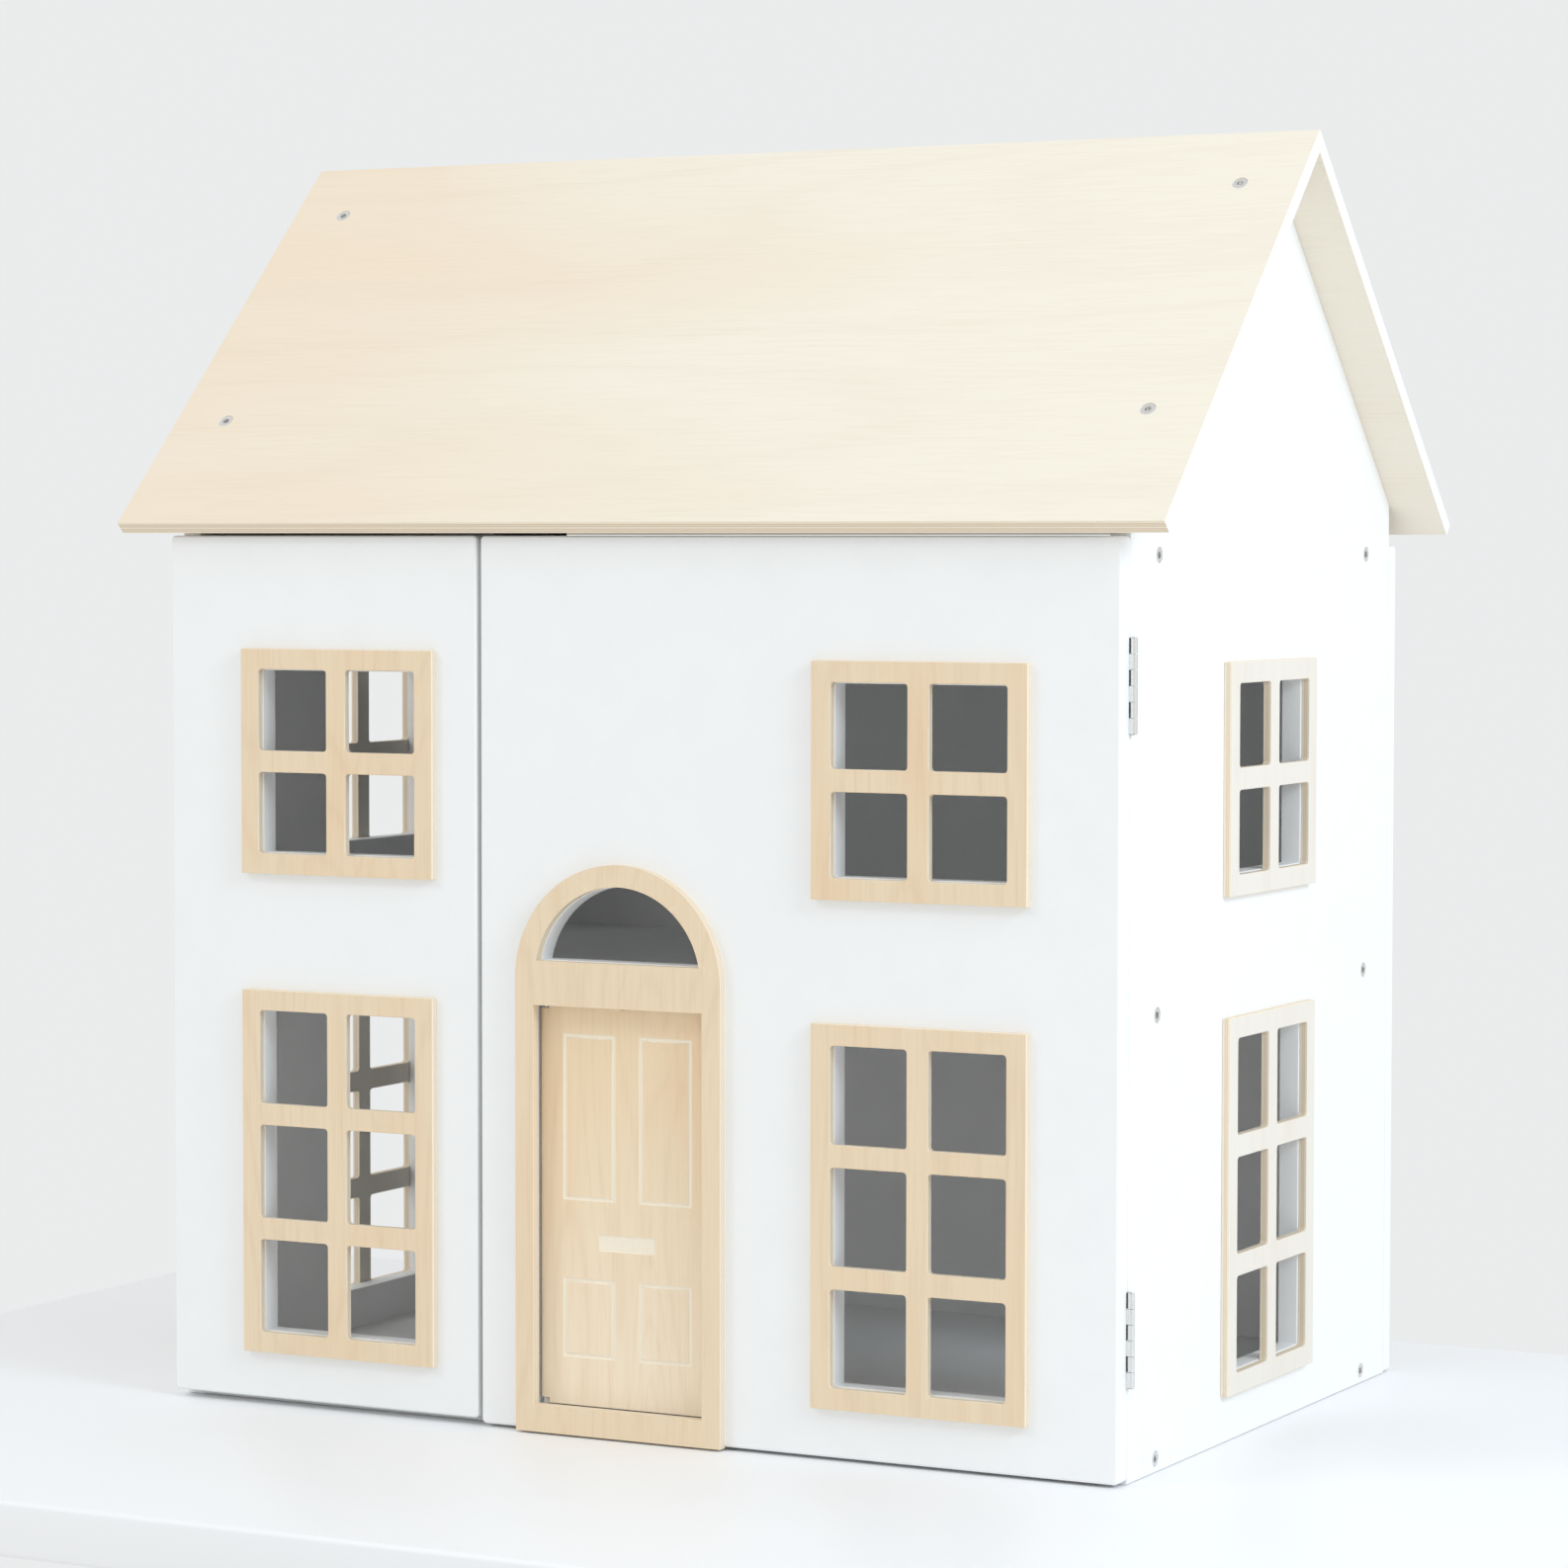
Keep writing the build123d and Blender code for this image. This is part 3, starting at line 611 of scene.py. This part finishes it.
# ---- roof ----
def make_roof(node, side):
    """A plywood slope: veneer on its faces, plies on its long edges, and painted gable ends."""
    bm = copy_of(node)
    out = Vector((0.0, side * HALF_RIGHT_ANGLE, HALF_RIGHT_ANGLE))
    round_edges(bm, sharp_edges(bm, 60.0, 0.008), sizes().roof_arris, 3)
    for face in bm.faces:
        if abs(face.normal.dot(out)) > SQUARE_ON:
            face.material_index = 0
        else:
            face.material_index = 2 if abs(face.normal.x) > SQUARE_ON else 1
    materials = [
        finished("roof_veneer", roof_face),
        finished("roof_plies", roof_edge),
        finished("white_paint", painted),
    ]
    return add_piece("lacquered_" + node, bm, materials, node, crease=50.0)


# ---- windows ----
def pane_ranges(total, first, between, count):
    """Where the panes lie between the bars of a frame, along one side of it."""
    pane = (total - 2 * first - (count - 1) * between) / count
    starts = [first + index * (pane + between) for index in range(count)]
    return [(start, start + pane) for start in starts]


def on_one_line(edge, axis, places):
    first, second = (vert.co[axis] for vert in edge.verts)
    return any(abs(first - place) < SAME_PLACE and abs(second - place) < SAME_PLACE for place in places)


def join_round_panes(bm, columns, rows):
    """Leave only the cuts through the middles of the panes, so that each pane's corners are plain."""
    middles = [[sum(span) / 2 for span in spans] for spans in (columns, rows)]
    spare = [
        edge for edge in bm.edges
        if not edge.is_boundary
        and not on_one_line(edge, 0, middles[0])
        and not on_one_line(edge, 1, middles[1])
    ]
    bmesh.ops.dissolve_edges(bm, edges=spare, use_verts=False)
    straight = [vert for vert in bm.verts if len(vert.link_edges) == 2 and vert.calc_edge_angle() < 0.01]
    bmesh.ops.dissolve_verts(bm, verts=straight)


def pane_corner_edges(bm, columns, rows):
    found = []
    for edge in bm.edges:
        first, second = edge.verts
        if abs(first.co.z - second.co.z) < SAME_PLACE:
            continue
        at_column = any(abs(first.co.x - x) < SAME_PLACE for span in columns for x in span)
        at_row = any(abs(first.co.y - y) < SAME_PLACE for span in rows for y in span)
        if at_column and at_row:
            found.append(edge)
    return found


def window_mesh(width, height, thickness, row_count):
    """A frame cut from one plywood sheet, two panes wide, in its local plane."""
    chosen = sizes()
    columns = pane_ranges(width, chosen.window_bar, chosen.window_muntin, 2)
    rows = pane_ranges(height, chosen.window_bar, chosen.window_rail, row_count)
    bm = sheet((0.0, width), (0.0, height))
    cut_along(bm, 0, [x for span in columns for x in (*span, sum(span) / 2)])
    cut_along(bm, 1, [y for span in rows for y in (*span, sum(span) / 2)])
    panes = [face for face in bm.faces if any(inside(face, x, y) for x in columns for y in rows)]
    remove_faces(bm, panes)
    join_round_panes(bm, columns, rows)
    thicken(bm, thickness)
    round_edges(bm, pane_corner_edges(bm, columns, rows), chosen.pane_corner, 6)
    set_face_materials(bm)
    round_edges(bm, sharp_edges(bm), chosen.trim_arris, 3)
    return bm


def make_window(node, row_count, directions, materials):
    low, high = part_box(node)
    right, _, out = directions
    size = high - low
    width = abs(size.dot(right))
    thickness = abs(size.dot(out))
    origin = Vector((0.0, 0.0, low.z))
    for axis in (0, 1):
        if right[axis]:
            origin[axis] = low[axis] if right[axis] > 0 else high[axis]
        if out[axis]:
            origin[axis] = low[axis] if out[axis] > 0 else high[axis]
    bm = window_mesh(width, size.z, thickness, row_count)
    stand(bm, directions, origin)
    return add_piece("cut_" + node, bm, materials, node)


# ---- entrance ----
def arched_sheet(half_width, foot, centre, fanlight_radius):
    """The flat outline of the entrance: half a disc over three columns down to the foot."""
    bm = bmesh.new()
    bmesh.ops.create_circle(bm, cap_ends=True, segments=128, radius=half_width)
    bmesh.ops.inset_region(
        bm, faces=bm.faces[:], thickness=half_width - fanlight_radius,
        use_boundary=True, use_even_offset=True,
    )
    everything = bm.verts[:] + bm.edges[:] + bm.faces[:]
    bmesh.ops.bisect_plane(
        bm, geom=everything, plane_co=(0.0, 0.0, 0.0), plane_no=(0.0, 1.0, 0.0), clear_inner=True
    )
    level = [
        edge for edge in bm.edges
        if edge.is_boundary and all(abs(vert.co.y) < SAME_PLACE for vert in edge.verts)
    ]
    made = bmesh.ops.extrude_edge_only(bm, edges=level)
    moved = [part for part in made["geom"] if isinstance(part, bmesh.types.BMVert)]
    bmesh.ops.translate(bm, vec=(0.0, foot - centre, 0.0), verts=moved)
    bmesh.ops.translate(bm, vec=(0.0, centre, 0.0), verts=bm.verts)
    return bm


def make_entrance(node):
    chosen = sizes()
    low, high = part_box(node)
    half = (high.x - low.x) / 2
    centre = high.z - half
    bm = arched_sheet(half, low.z, centre, chosen.fanlight_radius)
    sill = low.z + chosen.doorway_sill
    head = low.z + chosen.doorway_head
    fanlight_sill = low.z + chosen.fanlight_sill
    cut_along(bm, 1, [sill, head, fanlight_sill])
    doorway_x = (-chosen.doorway_width / 2, chosen.doorway_width / 2)
    for x in doorway_x:
        below = [face for face in bm.faces if face.calc_center_median().y < centre]
        edges = {edge for face in below for edge in face.edges}
        verts = {vert for face in below for vert in face.verts}
        bmesh.ops.bisect_plane(
            bm, geom=[*verts, *edges, *below], plane_co=(x, 0.0, 0.0), plane_no=(1.0, 0.0, 0.0)
        )
    reach = chosen.fanlight_radius + 1e-5
    holes = [
        face for face in bm.faces
        if inside(face, doorway_x, (sill, head))
        or (
            face.calc_center_median().y > fanlight_sill
            and all(math.hypot(vert.co.x, vert.co.y - centre) < reach for vert in face.verts)
        )
    ]
    remove_faces(bm, holes)
    bmesh.ops.dissolve_limit(
        bm, angle_limit=0.001, use_dissolve_boundaries=False, verts=bm.verts, edges=bm.edges
    )
    thicken(bm, high.y - low.y)
    feet = [
        edge for edge in bm.edges
        if abs(edge.verts[0].co.z - edge.verts[1].co.z) > SAME_PLACE
        and all(abs(abs(vert.co.x) - half) < SAME_PLACE for vert in edge.verts)
        and all(abs(vert.co.y - low.z) < SAME_PLACE for vert in edge.verts)
    ]
    round_edges(bm, feet, chosen.entrance_corner, 4)
    set_face_materials(bm)
    round_edges(bm, sharp_edges(bm), chosen.trim_arris, 3)
    stand(bm, FRONT, Vector(((low.x + high.x) / 2, high.y, 0.0)))
    materials = [finished("trim_veneer", trim_face), finished("entrance_plies", entrance_edge)]
    return add_piece("cut_entrance_frame", bm, materials, node)


def door_panel_columns(half):
    chosen = sizes()
    near = half - chosen.panel_margin
    return [(-near, chosen.panel_width - near), (near - chosen.panel_width, near)]


def shrunk(span, amount):
    return span[0] + amount, span[1] - amount


def rout(bm, faces):
    """Sink a groove with a rounded bottom into the given faces."""
    chosen = sizes()
    for face in faces:
        face.material_index = 2
    for share, fall in GROOVE_STEPS:
        bmesh.ops.inset_region(
            bm, faces=faces, thickness=chosen.groove_width * share,
            depth=-chosen.groove_depth * fall, use_even_offset=True, use_boundary=True,
        )


def make_door(node):
    """The door: routed on its face, round along its pivot edge, notched at the pivots."""
    chosen = sizes()
    low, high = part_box(node)
    half = (high.x - low.x) / 2
    thickness = high.y - low.y
    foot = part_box("entrance_frame")[0].z
    upper = (foot + chosen.upper_panel_foot, foot + chosen.upper_panel_head)
    lower = (foot + chosen.lower_panel_foot, foot + chosen.lower_panel_head)
    slot_x = (-chosen.slot_width / 2, chosen.slot_width / 2)
    slot_middle = foot + chosen.slot_rise
    slot_y = (slot_middle - chosen.slot_height / 2, slot_middle + chosen.slot_height / 2)
    columns = door_panel_columns(half)
    width = chosen.groove_width
    bm = sheet((-half, half), (low.z, high.z))
    cut_along(bm, 0, [x for span in columns for x in (*span, *shrunk(span, width))])
    cut_along(bm, 0, [*slot_x, -half + thickness])
    cut_along(bm, 1, [y for span in (upper, lower) for y in (*span, *shrunk(span, width))])
    cut_along(bm, 1, [*slot_y, low.z + chosen.notch, high.z - chosen.notch])
    notch_x = (-half, -half + thickness)
    notches = [
        face for face in bm.faces
        if inside(face, notch_x, (low.z, low.z + chosen.notch))
        or inside(face, notch_x, (high.z - chosen.notch, high.z))
    ]
    remove_faces(bm, notches)
    rings = [
        face for face in bm.faces
        if any(
            inside(face, x, y) and not inside(face, shrunk(x, width), shrunk(y, width))
            for x in columns for y in (upper, lower)
        )
    ]
    slot = [face for face in bm.faces if inside(face, slot_x, slot_y)]
    thicken(bm, -thickness)
    set_face_materials(bm)
    pivot_edges = [
        edge for edge in bm.edges
        if all(abs(vert.co.x + half) < SAME_PLACE for vert in edge.verts)
        and abs(edge.verts[0].co.y - edge.verts[1].co.y) > SAME_PLACE
    ]
    rings = [face for face in rings if face.is_valid]
    slot = [face for face in slot if face.is_valid]
    rout(bm, rings)
    rout(bm, slot)
    round_edges(bm, pivot_edges, thickness * 0.49, 6)
    stand(bm, FRONT, Vector(((low.x + high.x) / 2, low.y, 0.0)))
    materials = [
        finished("door_veneer", door_face),
        finished("door_plies", door_edge),
        finished("routed_wood", routed_wood),
    ]
    return add_piece("routed_door", bm, materials, node, crease=55.0)


# ---- screws ----
def screw_mesh(head, shank, length_below, socket, depth):
    """One countersunk screw with a hexagon socket, its head's top at local Z 0."""
    bm = bmesh.new()
    bmesh.ops.create_circle(bm, segments=6, radius=socket / math.sqrt(3))
    bmesh.ops.subdivide_edges(bm, edges=bm.edges[:], cuts=5)
    mouth = bm.edges[:]
    radius = head * SCREW_FLAT
    rim = bmesh.ops.create_circle(bm, segments=36, radius=radius)["verts"]
    rim_edges = list({edge for vert in rim for edge in vert.link_edges})
    bmesh.ops.bridge_loops(bm, edges=mouth + rim_edges)
    wall = bmesh.ops.extrude_edge_only(bm, edges=mouth)["geom"]
    floor = [part for part in wall if isinstance(part, bmesh.types.BMVert)]
    bmesh.ops.translate(bm, vec=(0.0, 0.0, -depth), verts=floor)
    floor_edges = [
        part for part in wall
        if isinstance(part, bmesh.types.BMEdge) and all(vert in floor for vert in part.verts)
    ]
    bmesh.ops.contextual_create(bm, geom=floor_edges)
    edges = rim_edges
    steps = (
        (head, -SCREW_EDGE_FALL * head),
        (head, -SCREW_RIM),
        (shank, -SCREW_RIM - head + shank),
        (shank, -length_below + shank),
        (shank * SCREW_POINT, -length_below),
    )
    level = 0.0
    for next_radius, next_level in steps:
        made = bmesh.ops.extrude_edge_only(bm, edges=edges)["geom"]
        ring = [part for part in made if isinstance(part, bmesh.types.BMVert)]
        share = next_radius / radius
        bmesh.ops.scale(bm, vec=(share, share, 1.0), verts=ring)
        bmesh.ops.translate(bm, vec=(0.0, 0.0, next_level - level), verts=ring)
        edges = [
            part for part in made
            if isinstance(part, bmesh.types.BMEdge) and all(vert in ring for vert in part.verts)
        ]
        radius = next_radius
        level = next_level
    bmesh.ops.contextual_create(bm, geom=edges)
    bmesh.ops.recalc_face_normals(bm, faces=bm.faces)
    mesh = bpy.data.meshes.new("screw")
    bm.to_mesh(mesh)
    bm.free()
    return mesh


def screw_place(points, out):
    """Where a screw's head lies, and its length and head radius, from the points of its solid."""
    reach = [point.dot(out) for point in points]
    top = max(reach)
    rim = [point for point, far in zip(points, reach) if top - far < 1e-5]
    low = Vector(map(min, zip(*rim)))
    high = Vector(map(max, zip(*rim)))
    middle = (low + high) / 2
    return middle, top - min(reach), max((point - middle).length for point in rim)


def make_screws(node, out, form):
    """Every screw of a group, each turned a little differently about its axis."""
    shank, socket, depth = form
    solid = copy_of(node)
    group = bmesh.new()
    for index, points in enumerate(islands(solid)):
        middle, below, head = screw_place(points, out)
        mesh = screw_mesh(head, shank, below - sizes().screw_sink, socket, depth)
        turn = out.to_track_quat("Z", "Y").to_matrix().to_4x4()
        spin = Matrix.Rotation(SCREW_FIRST_TURN + index * SCREW_NEXT_TURN, 4, "Z")
        mesh.transform(Matrix.Translation(middle - out * sizes().screw_sink) @ turn @ spin)
        group.from_mesh(mesh)
        bpy.data.meshes.remove(mesh)
    solid.free()
    return add_piece("plated_" + node, group, [finished("zinc_plate", zinc)], node, crease=30.0)


# ---- metal fittings ----
def make_fitting(node, material, radius, prefix):
    bm = softened_copy(node, radius, 0.0, segments=2)
    return add_piece(prefix + node, bm, [material], node, crease=40.0)


# ---- stage ----
def add_camera():
    """The camera stands a little above half the height, right of the front corner."""
    azimuth, pitch, roll = (math.radians(angle) for angle in CAMERA_TURN)
    ahead = Vector((
        -math.sin(azimuth) * math.cos(pitch), math.cos(azimuth) * math.cos(pitch), math.sin(pitch)
    ))
    level = ahead.cross(Vector((0.0, 0.0, 1.0))).normalized()
    upright = level.cross(ahead)
    right = level * math.cos(roll) + upright * math.sin(roll)
    above = upright * math.cos(roll) - level * math.sin(roll)
    camera = bpy.data.objects.new("camera", bpy.data.cameras.new("camera"))
    camera.data.sensor_width = CAMERA_SENSOR
    camera.data.lens = CAMERA_LENS
    camera.matrix_world = Matrix.Translation(CAMERA_PLACE) @ (
        Matrix((right, above, -ahead)).transposed().to_4x4()
    )
    bpy.context.scene.collection.objects.link(camera)
    bpy.context.scene.camera = camera


def add_light(name, place, size, power, tone):
    lamp = bpy.data.lights.new(name, "AREA")
    lamp.shape = "DISK"
    lamp.size = size
    lamp.energy = power
    lamp.color = tone
    light = bpy.data.objects.new(name, lamp)
    light.location = place
    light.rotation_mode = "QUATERNION"
    light.rotation_quaternion = (Vector(LIGHT_AIM) - Vector(place)).to_track_quat("-Z", "Y")
    bpy.context.scene.collection.objects.link(light)


def add_floor():
    """A plain pale slab under the house, wide enough for the opened front."""
    bm = bmesh.new()
    bmesh.ops.create_cube(bm, size=1.0)
    bmesh.ops.scale(bm, vec=FLOOR_SIZE, verts=bm.verts)
    bmesh.ops.translate(bm, vec=FLOOR_CENTRE, verts=bm.verts)
    round_edges(bm, bm.edges[:], FLOOR_ARRIS, 4)
    mark_shading(bm, 38.0)
    mesh = bpy.data.meshes.new("floor")
    bm.to_mesh(mesh)
    bm.free()
    slab = bpy.data.objects.new("floor", mesh)
    mesh.materials.append(finished("plain_floor", plain_floor))
    bpy.context.scene.collection.objects.link(slab)


def add_surroundings():
    world = bpy.data.worlds.new("pale surroundings")
    bpy.context.scene.world = world
    world.use_nodes = True
    background = next(node for node in world.node_tree.nodes if node.type == "BACKGROUND")
    background.inputs["Color"].default_value = shade("backdrop")
    background.inputs["Strength"].default_value = SURROUNDINGS_STRENGTH


# ---- operators ----
class DOLLHOUSE_OT_stage(bpy.types.Operator):
    """Set up the camera, the soft light and the plain floor"""

    bl_idname = "dollhouse.stage"
    bl_label = "Stage"

    def execute(self, context):
        context.scene.view_settings.view_transform = "Standard"
        add_camera()
        add_floor()
        add_surroundings()
        for light in LIGHTS:
            add_light(*light)
        return {"FINISHED"}


class DOLLHOUSE_OT_boards(bpy.types.Operator):
    """Model the painted boards: walls, floors, back and the two front panels"""

    bl_idname = "dollhouse.boards"
    bl_label = "Painted boards"

    def execute(self, context):
        for node in (
            "left_side_wall", "right_side_wall", "back_panel", "base_floor", "middle_floor",
            "attic_floor", "front_left_panel", "front_right_panel",
        ):
            make_board(node)
        return {"FINISHED"}


class DOLLHOUSE_OT_roof(bpy.types.Operator):
    """Model the two plywood slopes of the roof"""

    bl_idname = "dollhouse.roof"
    bl_label = "Roof"

    def execute(self, context):
        make_roof("roof_front_slope", -1)
        make_roof("roof_rear_slope", 1)
        return {"FINISHED"}


class DOLLHOUSE_OT_windows(bpy.types.Operator):
    """Model the eight window frames"""

    bl_idname = "dollhouse.windows"
    bl_label = "Window frames"

    def execute(self, context):
        front = [finished("trim_veneer", trim_face), finished("front_trim_plies", front_trim_edge)]
        side = [finished("sidelit_veneer", sidelit_trim_face), finished("side_trim_plies", side_trim_edge)]
        for level, rows in (("lower", 3), ("upper", 2)):
            make_window(f"front_left_{level}_window", rows, FRONT, front)
            make_window(f"front_right_{level}_window", rows, FRONT, front)
            make_window(f"left_side_{level}_window", rows, LEFT, side)
            make_window(f"right_side_{level}_window", rows, RIGHT, side)
        return {"FINISHED"}


class DOLLHOUSE_OT_entrance(bpy.types.Operator):
    """Model the arched entrance, its door, the door's pivots and its stop"""

    bl_idname = "dollhouse.entrance"
    bl_label = "Entrance"

    def execute(self, context):
        make_entrance("entrance_frame")
        make_door("entrance_door")
        stop = softened_copy("entrance_door_stop", sizes().trim_arris, 0.002)
        add_piece("sawn_door_stop", stop, [finished("trim_veneer", trim_face)], "entrance_door_stop")
        make_fitting("entrance_pivot_pins", finished("zinc_plate", zinc), sizes().pin_arris, "turned_")
        return {"FINISHED"}


class DOLLHOUSE_OT_screws(bpy.types.Operator):
    """Model every countersunk screw"""

    bl_idname = "dollhouse.screws"
    bl_label = "Screws"

    def execute(self, context):
        back = Vector((0, 1, 0))
        make_screws("back_panel_screws", back, BOARD_SCREW)
        for side, name in ((-1, "left"), (1, "right")):
            make_screws(f"{name}_wall_screws", Vector((side, 0, 0)), BOARD_SCREW)
            make_screws(f"{name}_wall_hinge_screws", -back, HINGE_SCREW)
            make_screws(f"{name}_panel_hinge_screws", back, HINGE_SCREW)
            make_screws(f"{name}_strike_screws", back, STRIKE_SCREW)
        for side, name in ((-1, "front"), (1, "rear")):
            out = Vector((0, side * HALF_RIGHT_ANGLE, HALF_RIGHT_ANGLE))
            make_screws(f"roof_{name}_screws", out, ROOF_SCREW)
        return {"FINISHED"}


class DOLLHOUSE_OT_hinges(bpy.types.Operator):
    """Model the four butt hinges with their pins"""

    bl_idname = "dollhouse.hinges"
    bl_label = "Hinges"

    def execute(self, context):
        plate = finished("nickel_plate", nickel)
        radius = sizes().metal_arris
        for name in ("left", "right"):
            for part in ("wall_hinge_leaves", "panel_hinge_leaves", "hinge_pins"):
                make_fitting(f"{name}_{part}", plate, radius, "pressed_")
        return {"FINISHED"}


class DOLLHOUSE_OT_catches(bpy.types.Operator):
    """Model the two magnetic catches and their strike plates"""

    bl_idname = "dollhouse.catches"
    bl_label = "Magnetic catches"

    def execute(self, context):
        radius = sizes().metal_arris
        parts = (
            ("catch_housing", finished("black_plastic", black_plastic), "moulded_"),
            ("catch_magnet", finished("magnet_steel", magnet_steel), "ground_"),
            ("strike_plate", finished("nickel_plate", nickel), "stamped_"),
        )
        for name in ("left", "right"):
            for part, material, prefix in parts:
                make_fitting(f"{name}_{part}", material, radius, prefix)
        return {"FINISHED"}


class DOLLHOUSE_PT_pieces(bpy.types.Panel):
    """Lists the steps that finish the dollhouse"""

    bl_idname = "DOLLHOUSE_PT_pieces"
    bl_label = "Dollhouse"
    bl_space_type = "VIEW_3D"
    bl_region_type = "UI"
    bl_category = "Dollhouse"

    def draw(self, context):
        for step in STEPS:
            self.layout.operator(step.bl_idname)
        for group in (context.scene.dollhouse_sizes, context.scene.dollhouse_colours):
            box = self.layout.box()
            for name in group.__annotations__:
                box.prop(group, name)


STEPS = (
    DOLLHOUSE_OT_stage,
    DOLLHOUSE_OT_boards,
    DOLLHOUSE_OT_roof,
    DOLLHOUSE_OT_windows,
    DOLLHOUSE_OT_entrance,
    DOLLHOUSE_OT_screws,
    DOLLHOUSE_OT_hinges,
    DOLLHOUSE_OT_catches,
)
CLASSES = (DollhouseSizes, DollhouseColours, *STEPS, DOLLHOUSE_PT_pieces)


def register():
    for kind in CLASSES:
        bpy.utils.register_class(kind)
    bpy.types.Scene.dollhouse_sizes = PointerProperty(type=DollhouseSizes)
    bpy.types.Scene.dollhouse_colours = PointerProperty(type=DollhouseColours)


def unregister():
    del bpy.types.Scene.dollhouse_colours
    del bpy.types.Scene.dollhouse_sizes
    for kind in reversed(CLASSES):
        bpy.utils.unregister_class(kind)


def main():
    register()
    for step in STEPS:
        group, name = step.bl_idname.split(".")
        getattr(getattr(bpy.ops, group), name)()


if __name__ == "__main__":
    main()
